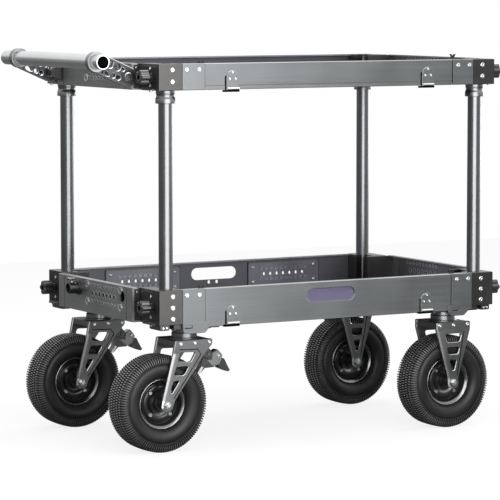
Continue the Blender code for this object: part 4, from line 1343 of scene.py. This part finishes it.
# %% The legs' outlines
LEG_NEAR = 0.045
LEG_FAR = 0.055
LEGS = {
    "rear": {
        "top": [(0.0245, 0.290), (0.1315, 0.290)],
        "right": [(0.1315, 0.277), (0.107, 0.250), (0.023, 0.137)],
        "left": [(-0.0135, 0.137), (0.018, 0.2565)],
        "windows": [
            [(0.036, 0.259), (0.083, 0.258), (0.069, 0.233), (0.031, 0.237)],
            [(0.027, 0.223), (0.063, 0.223), (0.049, 0.200), (0.020, 0.201)],
            [(0.018, 0.187), (0.0365, 0.187), (0.0145, 0.155), (0.0085, 0.156)],
        ],
        "groove": [(0.034, 0.2665), (0.088, 0.2650), (0.0975, 0.2515), (0.0185, 0.1415)],
        "bolts": [(0.039, 0.2815), (0.080, 0.2815), (0.122, 0.2815)],
    },
    "front": {
        "top": [(-0.0535, 0.290), (0.0535, 0.290)],
        "right": [(0.0535, 0.268), (0.0165, 0.137)],
        "left": [(-0.0165, 0.137), (-0.0535, 0.268)],
        "windows": [
            [(-0.026, 0.258), (0.026, 0.258), (0.020, 0.235), (-0.020, 0.235)],
            [(-0.020, 0.222), (0.020, 0.222), (0.0155, 0.202), (-0.0155, 0.202)],
            [(-0.0115, 0.188), (0.0115, 0.188), (0.004, 0.158), (-0.004, 0.158)],
        ],
        "groove": [(0.0335, 0.2640), (0.0120, 0.1450)],
        "bolts": [(-0.0440, 0.2815), (0, 0.2815), (0.0440, 0.2815)],
    },
}
print("each leg has", len(LEGS["rear"]["windows"]), "windows")

# %% A leg
LEG_FOOT = 0.0175
AXLE_HOLE = 0.0084
GROOVE_WIDTH = 0.0024
GROOVE_DEPTH = 0.0014
SLOPE_WIDTH = 0.005


def band(path, width):
    """The outline of an even band along a path of (across, up) points."""
    left, right = [], []
    for number, (a, b) in enumerate(path):
        before = Vector(path[max(number - 1, 0)])
        after = Vector(path[min(number + 1, len(path) - 1)])
        along = (after - before).normalized()
        left.append((a - along.y * width / 2, b + along.x * width / 2))
        right.append((a + along.y * width / 2, b - along.x * width / 2))
    return left + right[::-1]


def leg_groove(line):
    """The cutter for the groove that follows a leg's outline."""
    path = []
    for start, end in zip(line, line[1:]):
        path += [tuple(Vector(start).lerp(Vector(end), step / 6)) for step in range(6)]
    return plate([band(path + [line[-1]], GROOVE_WIDTH)], "Y", LEG_FAR - GROOVE_DEPTH, LEG_FAR + 0.01)


def slope_front(leg, front):
    """Widens the chamfer of the leg's front edge to a milled slope, in a finish duller than the other
    edges that paints the highlight along it.
    """
    (low_x, low_z), (high_x, high_z) = sorted(front, key=lambda point: point[1])
    lean = (high_x - low_x) / (high_z - low_z)

    def past_edge(place):
        """How far a place lies behind the leg's front edge."""
        return place.x - low_x - (place.z - low_z) * lean

    # Faces along the front edge take the finish that paints its highlight
    for face in leg.polygons:
        faces_out = abs(face.normal.y) >= 0.95
        if past_edge(face.center) < 0.003 and not faces_out and low_z < face.center.z < high_z:
            face.material_index = 3
    for corner in leg.vertices:
        on_edge = abs(past_edge(corner.co)) < 0.0035 and corner.co.y > LEG_FAR - 0.0006
        if on_edge and corner.co.z < high_z + 0.001:
            corner.co.x += SLOPE_WIDTH


def fork_leg(end):
    """A leg on the +Y side of its wheel, about the axle's x, with its outer face grooved."""
    shape = LEGS[end]
    axle = (0, AXLE_Z)
    rim = shape["top"] + shape["right"] + arc_points(LEG_FOOT, axle, -20, -160, 14) + shape["left"]
    outlines = [rounded(rim, 0.0025, 2), ring_points(AXLE_HOLE, 20, axle)]
    outlines += [rounded(window, 0.0065, 5) for window in shape["windows"]]
    leg = plate(outlines, "Y", LEG_NEAR, LEG_FAR, 0.0012, "fork", "edge")
    # Slot 2 paints the groove black as shade, slot 3 the front edge's highlight
    leg.materials.append(FINISH["dark"])
    leg.materials.append(FINISH["leg_edge"])
    slope_front(leg, shape["left"])
    groove = leg_groove(shape["groove"])
    # The groove's inside is painted black as shade
    for face in groove.polygons:
        face.material_index = 2
    return cut(leg, [groove])


print("a leg is", round((LEG_FAR - LEG_NEAR) * 1000), "mm thick")

# %% Forks
FORK_NODE = {"front": "fixed_fork_front", "rear": "swivel_fork_rear"}
CROWN = [(0, 0.287), (0.0375, 0.287), (0.0375, 0.2920), (0.0365, 0.2930), (0.0330, 0.2935)]
CROWN += [(0.0330, 0.3040), (0.032, 0.3050), (0.0103, 0.3050), (0.0103, 0.275), (0, 0.275)]


def fork(end):
    """A whole fork about its hub's axis, for the left side."""
    shift = TRAIL if end == "rear" else 0
    leg = moved(fork_leg(end), x=-shift)
    bridge = bar((-0.0525, -0.0475, 0.273), (0.0525, 0.0475, 0.289), 0.0012, "fork")
    parts = [leg, mirrored(leg, 1, -1), bridge, turned(CROWN, "Z", 48, "post")]
    bolts = []
    for y_sign in SIDES.values():
        bolts += [((x - shift, y_sign * LEG_FAR, z), (0, y_sign, 0)) for x, z in LEGS[end]["bolts"]]
    parts.append(screws(bolts, "fork"))
    return parts


for end, x_sign in ENDS.items():
    for side, y_sign in SIDES.items():
        body = "base" if end == "front" else f"swivel_{side}"
        placed = [moved(mesh, x=x_sign * CASTER[0], y=y_sign * CASTER[1]) for mesh in fork(end)]
        piece(f"fork_{end}_{side}", body, placed, [f"{FORK_NODE[end]}_{side}"])
show_made("fork")

# %% [markdown]
# ## Wheels
# The rim is pressed steel in gloss black: a flanged channel for the tyre, a stepped disc with four
# bolts, and a hub for the bearings. Grey bands on the flange and on the disc's slope paint its
# reflections, and a thin bright bead on each flange paints a highlight. The axle's nuts stand on
# round washers outside the legs. Half of the rim's section is written down. Its mirror image is
# added, and the whole is turned at once.


# %% Axles
def wheel_bolt():
    """The axle, with a washer, a nut and a bright tip at each end."""
    parts = [rod(0.0080, -0.0553, 0.0553, "Y", 24)]
    for sign in (-1, 1):
        washer = rod(0.0112, 0.0553, 0.0569, "Y", 32, 0.0004, "arm")
        nut = plate([ring_points(0.0088, 6)], "Y", 0.0565, 0.0612, 0.0014, "zinc", "edge")
        tip = rod(0.0048, 0.0608, 0.0622, "Y", 20, 0.0006, "edge")
        parts += [mirrored(mesh, 1, sign) for mesh in (washer, nut, tip)]
    return parts


print("an axle with its nuts has", sum(len(mesh.polygons) for mesh in wheel_bolt()), "faces")

# %% Rims
RIM_HALF = [
    (0.0162, 0.0446),
    (0.0170, 0.0438),
    (0.0170, 0.0120),
    (0.0185, 0.0080),
    (0.0250, 0.0072),
    (0.0285, 0.0080),
    (0.0335, 0.0118),
    (0.0345, 0.0124),
    (0.0450, 0.0124),
    (0.0462, 0.0118),
    (0.0490, 0.0080),
    (0.0510, 0.0072),
    (0.0530, 0.0090),
    (0.0560, 0.0200),
    (0.0575, 0.0224),
    (0.0620, 0.0250),
    (0.0636, 0.0260),
    (0.0645, 0.0254),
    (0.0645, 0.0243),
    (0.0635, 0.0232),
    (0.0595, 0.0226),
    (0.0588, 0.0200),
]
REFLECTION_BANDS = ((0.0562, 0.0638), (0.0288, 0.0332))
RIM_BOLT_CIRCLE = 0.040
BEARING_CAP = [(0.0100, 0.0440), (0.0100, 0.0452), (0.0165, 0.0452), (0.0165, 0.0440)]
BEAD = (0.0636, 0.0258)


def wheel_rim():
    """The turned rim with bands of painted reflection, its bolts, the dark ring round each bearing and a
    bead on each flange whose bright line paints a highlight.
    """
    profile = RIM_HALF + [(radius, -out) for radius, out in reversed(RIM_HALF)]
    profile += [(0.0086, -0.0446), (0.0086, 0.0446)]
    shell = painted(turned(profile, "Y", 96, "rim", closed=True), "rim", "flange")
    # Faces in these bands take a grey that paints the rim's reflections
    for face in shell.polygons:
        distance = math.hypot(face.center.x, face.center.z)
        face.material_index = int(any(low < distance < high for low, high in REFLECTION_BANDS))
    parts = [shell]
    angles = [math.pi / 4 + step * math.pi / 2 for step in range(4)]
    spots = [(RIM_BOLT_CIRCLE * math.cos(a), RIM_BOLT_CIRCLE * math.sin(a)) for a in angles]
    for sign in (-1, 1):
        bolts = [((x, sign * 0.0124, z), (0, sign, 0)) for x, z in spots]
        parts.append(screws(bolts, "rim", "steel"))
        parts.append(mirrored(turned(BEARING_CAP, "Y", 40, "dark", closed=True), 1, sign))
        # A thin bright bead paints the highlight on the flange's edge
        bead = turned(ring_points(0.0009, 8, BEAD), "Y", 96, "steel", closed=True)
        parts.append(mirrored(bead, 1, sign))
    return parts


rim_parts = wheel_rim()
print("a rim has", sum(len(mesh.polygons) for mesh in rim_parts), "faces")

# %% [markdown]
# ## Tyres
# One pitch of the pattern is five tread blocks and a rib on each shoulder. A Geometry Nodes
# tree repeats the pitch round the axle, as the mould does. The carcass under it bulges where a soft
# tyre does, with a groove between the smooth wall and the ribbed shoulder.

# %% One pitch of tread
PITCHES = 116
PITCH_LENGTH = 2 * math.pi * AXLE_Z / PITCHES
TREAD_ROWS = [(-0.0280, 0.0, 0.1250), (-0.0140, 0.5, 0.1257), (0.0, 0.0, 0.1259)]
TREAD_ROWS += [(0.0140, 0.5, 0.1257), (0.0280, 0.0, 0.1250)]
BLOCK_SHARE = 0.30
BLOCK_HALF = 0.0052
BLOCK_DEPTH = 0.0060
RIB_HALF = 0.0017
SHOULDER_RIB = [(0.0370, 0.1036), (0.0406, 0.1030), (0.0420, 0.1046), (0.0421, 0.1085), (0.0410, 0.1135)]
SHOULDER_RIB += [(0.0390, 0.1185), (0.0362, 0.1225), (0.0345, 0.1236), (0.0320, 0.1190)]


def pitch():
    """A block in each row, every second row half a pitch late, and a rib on each shoulder."""
    reach = PITCH_LENGTH * BLOCK_SHARE
    blocks = []
    for y, late, top in TREAD_ROWS:
        low = (-reach, y - BLOCK_HALF, top - BLOCK_DEPTH)
        block = bar(low, (reach, y + BLOCK_HALF, top), 0.0006, "tread")
        block.transform(Matrix.Rotation(late * 2 * math.pi / PITCHES, 4, "Y"))
        blocks.append(block)
    for sign in (-1, 1):
        rib = plate([SHOULDER_RIB], "X", -RIB_HALF, RIB_HALF, 0.0005, "tread")
        blocks.append(mirrored(rib, 1, sign))
    return joined("pitch", blocks)


print("a pitch is", round(PITCH_LENGTH * 1000, 2), "mm long")


# %% Repeating it round the axle
def round_tree():
    """Copies of a mesh, evenly turned about the Y axis."""
    tree, given, out = new_tree("repeated_round_the_axle", {"Count": "Int", "Finish": "Material"})
    line = node(tree, "GeometryNodeMeshLine", Count=given["Count"], Offset=(0, 0, 0)).outputs[0]
    index = node(tree, "GeometryNodeInputIndex").outputs[0]
    share = reckon(tree, "DIVIDE", index, given["Count"])
    turn = node(tree, "ShaderNodeCombineXYZ", Y=reckon(tree, "MULTIPLY", share, 2 * math.pi)).outputs[0]
    stand_on_points(tree, given, out, line, given["Geometry"], turn)
    return tree


tread_mesh = run_tree(pitch(), round_tree(), Count=PITCHES, Finish=FINISH["tread"])
print("the whole tread has", len(tread_mesh.polygons), "faces")

# %% Tyres
TYRE_HALF = [
    (0.0600, 0.0220),
    (0.0645, 0.0228),
    (0.0660, 0.0262),
    (0.0680, 0.0310),
    (0.0710, 0.0352),
    (0.0750, 0.0386),
    (0.0800, 0.0410),
    (0.0850, 0.0422),
    (0.0895, 0.0425),
    (0.0940, 0.0423),
    (0.0980, 0.0412),
    (0.1005, 0.0398),
    (0.1020, 0.0386),
    (0.1060, 0.0388),
    (0.1120, 0.0376),
    (0.1165, 0.0352),
    (0.1200, 0.0320),
    (0.1212, 0.0290),
    (0.1216, 0.0120),
]


def tread_paints(tread):
    """Lighter rubber on top of the blocks, for wear and as a painted highlight, and a greyer rubber on
    the shoulder ribs' outer faces as a painted highlight.
    """
    # Block tops and rib faces take lighter rubber that paints their highlights
    painted(tread, "tread", "worn_and_highlit", "rib")
    for face in tread.polygons:
        outward = Vector((face.center.x, 0, face.center.z))
        on_top = face.normal.dot(outward.normalized()) > 0.97
        along = Vector((outward.z, 0, -outward.x)).normalized()
        on_shoulder = abs(face.center.y) > 0.034 and outward.length > 0.1080
        on_rib = on_shoulder and abs(face.normal.dot(along)) < 0.3
        face.material_index = 2 if on_rib else int(on_top)
    return tread


tyre_profile = TYRE_HALF + [(radius, -out) for radius, out in reversed(TYRE_HALF)]
carcass = turned(tyre_profile, "Y", 128, "tyre", closed=True)
tyre_parts = [carcass, tread_paints(tread_mesh)]
print("a carcass has", len(carcass.polygons), "faces")

# %% Wheels on the cart
WHEEL_X = {"front": CASTER[0], "rear": -CASTER[0] - TRAIL}

for end in ENDS:
    for side, y_sign in SIDES.items():
        corner = f"{end}_{side}"
        place = {"x": WHEEL_X[end], "y": y_sign * CASTER[1], "z": AXLE_Z}
        axle_body = "base" if end == "front" else f"swivel_{side}"
        bolts = [moved(mesh, **place) for mesh in wheel_bolt()]
        piece(f"wheel_bolt_{corner}", axle_body, bolts, [f"axle_{corner}"])
        rim = [moved(mesh.copy(), **place) for mesh in rim_parts]
        piece(f"wheel_rim_{corner}", f"wheel_{corner}", rim, [f"rim_{corner}"])
        tyre = [moved(mesh.copy(), **place) for mesh in tyre_parts]
        piece(f"wheel_tyre_{corner}", f"wheel_{corner}", tyre, [f"tyre_{corner}"])
show_made("wheel_bolt", "wheel_rim", "wheel_tyre")

# %% [markdown]
# ## Foot brakes
# A lever hangs between two ears in front of each swivelling fork. Its pedal is a black wedge, and
# its shoe stands close to the tread. Most parts are plates cut from side views, because they keep
# one section across their width.

# %% Brakes' ears
BRAKE = (0.062, 0.245)
EARS_OUT = 0.0179


def brake_ears():
    """The bracket's bridge, its two ears, and the pin through them with its heads."""
    nose = arc_points(0.012, BRAKE, 60, -110, 14)
    ear = [(0.034, 0.2727), (0.053, 0.2727)] + nose + [(0.046, 0.240)]
    bridge = bar((0.034, -0.0135, 0.2657), (0.053, 0.0135, 0.2727), 0.0006, "block")
    side_plate = plate([ear], "Y", 0.0129, EARS_OUT, 0.0008, "block", "fork")
    pin = moved(rod(0.004, -EARS_OUT, EARS_OUT, "Y", 16), x=BRAKE[0], z=BRAKE[1])
    spots = [((BRAKE[0], sign * EARS_OUT, BRAKE[1]), (0, sign, 0)) for sign in (-1, 1)]
    return [bridge, side_plate, mirrored(side_plate, 1, -1), pin, screws(spots, "brake_pin", "fork")]


print("the ears are", EARS_OUT * 2000, "mm across")

# %% Brakes' levers
SHOE = [(-0.0190, -0.0330), (-0.0290, -0.0490), (-0.0215, -0.0510), (-0.0070, -0.0370)]
NOSE = [(0.0200, -0.0360), (0.0340, -0.0120)]
GRIP = [(0.0150, 0.0030), (0.0300, 0.0100), (0.0455, -0.0060), (0.0350, -0.0290), (0.0180, -0.0355)]
GRIP += [(-0.0020, -0.0190), (0.0010, -0.0140), (0.0130, -0.0150)]
WEDGE = [(0.0310, -0.0330), (0.0345, -0.0395), (0.0615, -0.0505), (0.0675, -0.0470)]
WEDGE += [(0.0500, -0.0150), (0.0420, -0.0130)]
PAD = [(-0.0175, -0.0310), (-0.0290, -0.0490), (-0.0215, -0.0510), (-0.0110, -0.0345)]


def brake_pedal():
    """The lever about its pivot: a dark core with the shoe, a bolted grey block and the pedal."""
    core_outline = arc_points(0.0105, (0, 0), 75, 190, 12) + SHOE + NOSE
    core = plate([core_outline, ring_points(0.0046, 16)], "Y", -0.0110, 0.0110, 0.0008, "plastic", "arm")
    grip = plate([rounded(GRIP, 0.0015, 2)], "Y", -0.0125, 0.0125, 0.0016, "arm", "edge")
    pedal = plate([rounded(WEDGE, 0.0030, 3)], "Y", -0.0118, 0.0118, 0.0014, "plastic")
    pad = plate([PAD], "Y", -0.0115, 0.0115, 0.0006, "edge")
    spots = [((0.0320, sign * 0.0125, -0.0060), (0, sign, 0)) for sign in (-1, 1)]
    parts = [core, grip, pedal, pad, screws(spots, "brake_grip")]
    return [moved(mesh, x=BRAKE[0], z=BRAKE[1]) for mesh in parts]


for side, y_sign in SIDES.items():
    place = {"x": -CASTER[0], "y": y_sign * CASTER[1]}
    ears = [moved(mesh, **place) for mesh in brake_ears()]
    piece(f"brake_ears_{side}", f"swivel_{side}", ears, [f"brake_bracket_{side}"])
    lever = [moved(mesh, **place) for mesh in brake_pedal()]
    piece(f"brake_pedal_{side}", f"brake_{side}", lever, [f"brake_lever_{side}"])
show_made("brake_ears", "brake_pedal")

# %% [markdown]
# ## Push handle
# A tube open at both ends, held by two flat arms with a ring each. The arms are braced like a
# truss, and hinge on brackets that are screwed to the upper panel. Each arm is one plate with
# windows and round holes, so every edge of the truss is chamfered and catches the light.

# %% Push bar
PIVOT = (-0.549, 0.96225)
REACH = 0.089
RISE = 0.0385
TUBE = [(0.0160, 0.302), (0.0180, 0.302), (0.0190, 0.301)]
TUBE += [(0.0190, -0.269), (0.0180, -0.270), (0.0160, -0.270)]

tube = turned(TUBE, "Y", 64, "handle", closed=True)
moved(tube, x=PIVOT[0] - REACH, z=PIVOT[1] + RISE)
piece("push_bar", "handle", [tube], ["handle_bar"])
show_made("push_bar")

# %% Push arms
ARM_Y = 0.227
ARM_HALF = 0.006
ARM_ROUND = 0.0255
LENS = [(0.0490, 0.0180), (0.0570, 0.0115), (0.0690, 0.0085), (0.0735, 0.0165)]
LENS += [(0.0700, 0.0205), (0.0580, 0.0212)]
GAP = [(0.0500, -0.0040), (0.0600, 0.0010), (0.0680, -0.0050), (0.0640, -0.0190), (0.0530, -0.0205)]
CELLS = [(0.0365, -0.0118, 0.0095), (0.0400, 0.0130, 0.0062)]
CELLS += [(0.0245, 0.0120, 0.0064), (0.0200, -0.0120, 0.0046)]
CLAMP = [(0.0194, -0.008), (0.0252, -0.008), (0.0260, -0.0072)]
CLAMP += [(0.0260, 0.0072), (0.0252, 0.008), (0.0194, 0.008)]
ARM_LEAN = math.atan2(RISE, -REACH)


def braced(along, aside):
    """A place on the arm, measured along it from the pivot and to one side, as (x, z)."""
    unit = (math.cos(ARM_LEAN), math.sin(ARM_LEAN))
    return (unit[0] * along - unit[1] * aside, unit[1] * along + unit[0] * aside)


def push_arm():
    """The left arm, about the tray's middle."""
    turn = math.degrees(ARM_LEAN)
    ring = (-REACH, RISE)
    outline = arc_points(ARM_ROUND, ring, turn - 90, turn + 90, 20)
    outline += arc_points(ARM_ROUND, (0, 0), turn + 90, turn + 270, 20)
    holes = [rounded([braced(*point) for point in window], 0.003) for window in (LENS, GAP)]
    holes += [ring_points(radius, 20, braced(along, aside)) for along, aside, radius in CELLS]
    holes += [ring_points(0.0066, 20), ring_points(0.0196, 40, ring)]
    web = plate([outline] + holes, "Y", ARM_Y - ARM_HALF, ARM_Y + ARM_HALF, 0.0015, "truss", "edge")
    clamp = turned(CLAMP, "Y", 56, "arm", closed=True)
    lump = rod(0.0040, 0.0245, 0.0258, "Z", 20, 0.0006, "plastic")
    for mesh in (clamp, lump):
        moved(mesh, x=ring[0], y=ARM_Y, z=ring[1])
    return [moved(mesh, x=PIVOT[0], z=PIVOT[1]) for mesh in (web, clamp, lump)]


print("an arm leans", round(180 - math.degrees(ARM_LEAN), 1), "degrees up from level")


# %% Push handle's hinges
def push_hinge():
    """The block on the panel, the pin with its head, and their screws."""
    outline = [(0.0187, -0.022), (0.0187, 0.022)] + arc_points(0.014, (0, 0), 110, 250, 14)
    block = plate([rounded(outline, 0.0015, 2)], "Y", 0.1887, 0.2207, 0.0010, "block")
    pin = rod(0.0060, 0.2150, 0.2340, "Y", 20, 0.0004)
    head = rod(0.0110, 0.2333, 0.2373, "Y", 32, 0.0010)
    above = screws([((0.010, 0.2047, 0.022), (0, 0, 1))], "hinge_top")
    spots = [((-0.010, y, z), (-1, 0, 0)) for y in (0.196, 0.213) for z in (-0.010, 0.010)]
    parts = [block, pin, head, above, screws(spots, "hinge_face")]
    return [moved(mesh, x=PIVOT[0], z=PIVOT[1]) for mesh in parts]


for side, y_sign in SIDES.items():
    arm = [mirrored(mesh, 1, y_sign) for mesh in push_arm()]
    piece(f"push_arm_{side}", "handle", arm, [f"handle_arm_{side}"])
    hinge = [mirrored(mesh, 1, y_sign) for mesh in push_hinge()]
    piece(f"push_hinge_{side}", "upper_tray", hinge, [f"handle_bracket_{side}"])
show_made("push_arm", "push_hinge")

# %% [markdown]
# ## Pipe socket
# A short tube stands out of the lower panel at the handle end, with a small knurled knob on top
# that clamps whatever is pushed into it. The tube is turned, and the knob is a plate whose rim
# is the star knobs' outline with nine small lobes.

# %% Pipe socket
SOCKET_Y = 0.097
SOCKET_Z = 0.3945
SOCKET = [(0.0150, 0.0003), (0.0190, 0.0003), (0.0190, 0.0045), (0.0182, 0.0053), (0.0150, 0.0053)]
SOCKET += [(0.0150, 0.0300), (0.0142, 0.0310), (0.0122, 0.0310), (0.0115, 0.0303), (0.0115, 0.0003)]
KNOB_X = 0.020

socket = turned([(radius, -out) for radius, out in SOCKET], "X", 40, "block", closed=True)
clamp = plate([star_points(0.0105, 0.0085, 9, 90)], "Z", 0.0195, 0.0275, 0.0010, "plastic", "edge")
stem = rod(0.0045, 0.0130, 0.0200, "Z", 16, paint="steel")
meshes = [moved(socket, x=-PANEL_X), moved(clamp, x=-PANEL_X - KNOB_X), moved(stem, x=-PANEL_X - KNOB_X)]
meshes = [moved(mesh, y=SOCKET_Y, z=SOCKET_Z) for mesh in meshes]
piece("pipe_holder", "base", meshes, ["pipe_socket"])
show_made("pipe_holder")

# %% [markdown]
# ## Studio
# A pale floor, a white surround, and three soft lamps. The tall one stands in front and to the
# left: it puts the bright strip on every upright and lets the rails darken towards the nose. One
# hangs overhead and brightens the top of the push bar, the rails' lips and the mats. The third
# stands off the nose, for the sides that the camera doesn't see.

# %% Floor
FLOOR_REACH = 4.5
FLOOR_GREY = 0.18
FLOOR_GLOW = 0.82


def studio_floor():
    """A grey floor that glows for the camera alone, so that it shows pale and keeps the shadow."""
    material, tree, shader = blank_material("studio_floor")
    shader.inputs["Base Color"].default_value = (FLOOR_GREY, FLOOR_GREY, FLOOR_GREY, 1)
    shader.inputs["Roughness"].default_value = 0.9
    shader.inputs["Specular IOR Level"].default_value = 0
    shader.inputs["Emission Color"].default_value = (1, 1, 1, 1)
    rays = node(tree, "ShaderNodeLightPath").outputs["Is Camera Ray"]
    tree.links.new(reckon(tree, "MULTIPLY", rays, FLOOR_GLOW), shader.inputs["Emission Strength"])
    mesh = bpy.data.meshes.new("studio_floor")
    corners = [(x * FLOOR_REACH, y * FLOOR_REACH, 0) for x, y in ((-1, -1), (1, -1), (1, 1), (-1, 1))]
    mesh.from_pydata(corners, [], [(0, 1, 2, 3)])
    mesh.materials.append(material)
    in_scene("studio_floor", mesh)


studio_floor()
print("the floor is", 2 * FLOOR_REACH, "m square")


# %% Lamps
def lamp(name, place, turn, size, height, watts):
    """A rectangular lamp, which shines along its own -Z."""
    data = bpy.data.lights.new(name, "AREA")
    data.shape = "RECTANGLE"
    data.size = size
    data.size_y = height
    data.energy = watts
    thing = in_scene(name, data)
    thing.location = place
    thing.rotation_euler = turn
    return watts


power = lamp("tall_lamp", (SHIFT - 0.56, -2.3, 0.95), (math.pi / 2, 0, 0), 2.3, 1.9, 60)
power += lamp("top_lamp", (SHIFT, 0, 3.2), (0, 0, 0), 1.9, 1.9, 31)
nose_turn = (math.radians(80), 0, math.radians(115))
power += lamp("nose_lamp", (SHIFT + 3.4, 1.6, 1.3), nose_turn, 1.6, 1.8, 45)
print("the lamps give", power, "W together")


# %% Surround
def studio_light(tree):
    """How bright the studio looks in each direction to what reflects it."""
    direction = node(tree, "ShaderNodeTexCoord").outputs["Generated"]
    parts = node(tree, "ShaderNodeSeparateXYZ", i0=direction).outputs
    lengthwise = mapped(tree, parts[0], -0.9, 0.9, 0.21, 0.42)
    past_nose = mapped(tree, parts[0], 0.72, 1.0, 0.0, 0.55)
    over_horizon = mapped(tree, parts[2], 0.0, 0.25, 0.0, 0.75)
    overhead = mapped(tree, parts[2], 0.4, 0.9, 0.0, 0.6)
    level_part = reckon(tree, "ADD", lengthwise, past_nose)
    return reckon(tree, "ADD", reckon(tree, "ADD", level_part, over_horizon), overhead)


def surround():
    """White for the camera, an even light on dull surfaces, and the studio in reflections."""
    world = bpy.data.worlds.new("studio")
    world.use_nodes = True
    tree = world.node_tree
    tree.nodes.clear()
    studio = studio_light(tree)
    rays = node(tree, "ShaderNodeLightPath").outputs
    mirror_like = reckon(tree, "MAXIMUM", rays["Is Glossy Ray"], rays["Is Transmission Ray"])
    white = mapped(tree, rays["Is Camera Ray"], 0, 1, 0.75, 1.0)
    level = node(tree, "ShaderNodeMix", {"data_type": "FLOAT"}, i0=mirror_like, i2=white, i3=studio)
    shader = node(tree, "ShaderNodeBackground", Color=(1, 1, 1, 1), Strength=level.outputs[0])
    node(tree, "ShaderNodeOutputWorld", Surface=shader.outputs[0])
    bpy.context.scene.world = world


surround()
bpy.context.scene.view_settings.view_transform = "Standard"
print("the world is", bpy.context.scene.world.name)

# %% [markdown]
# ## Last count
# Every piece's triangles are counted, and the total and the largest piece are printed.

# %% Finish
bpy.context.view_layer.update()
faces = {}
for name, thing in MADE.items():
    faces[name] = sum(len(face.vertices) - 2 for face in thing.data.polygons)
largest = max(faces, key=faces.get)
print(len(faces), "pieces,", sum(faces.values()), "triangles, the largest is", largest, faces[largest])
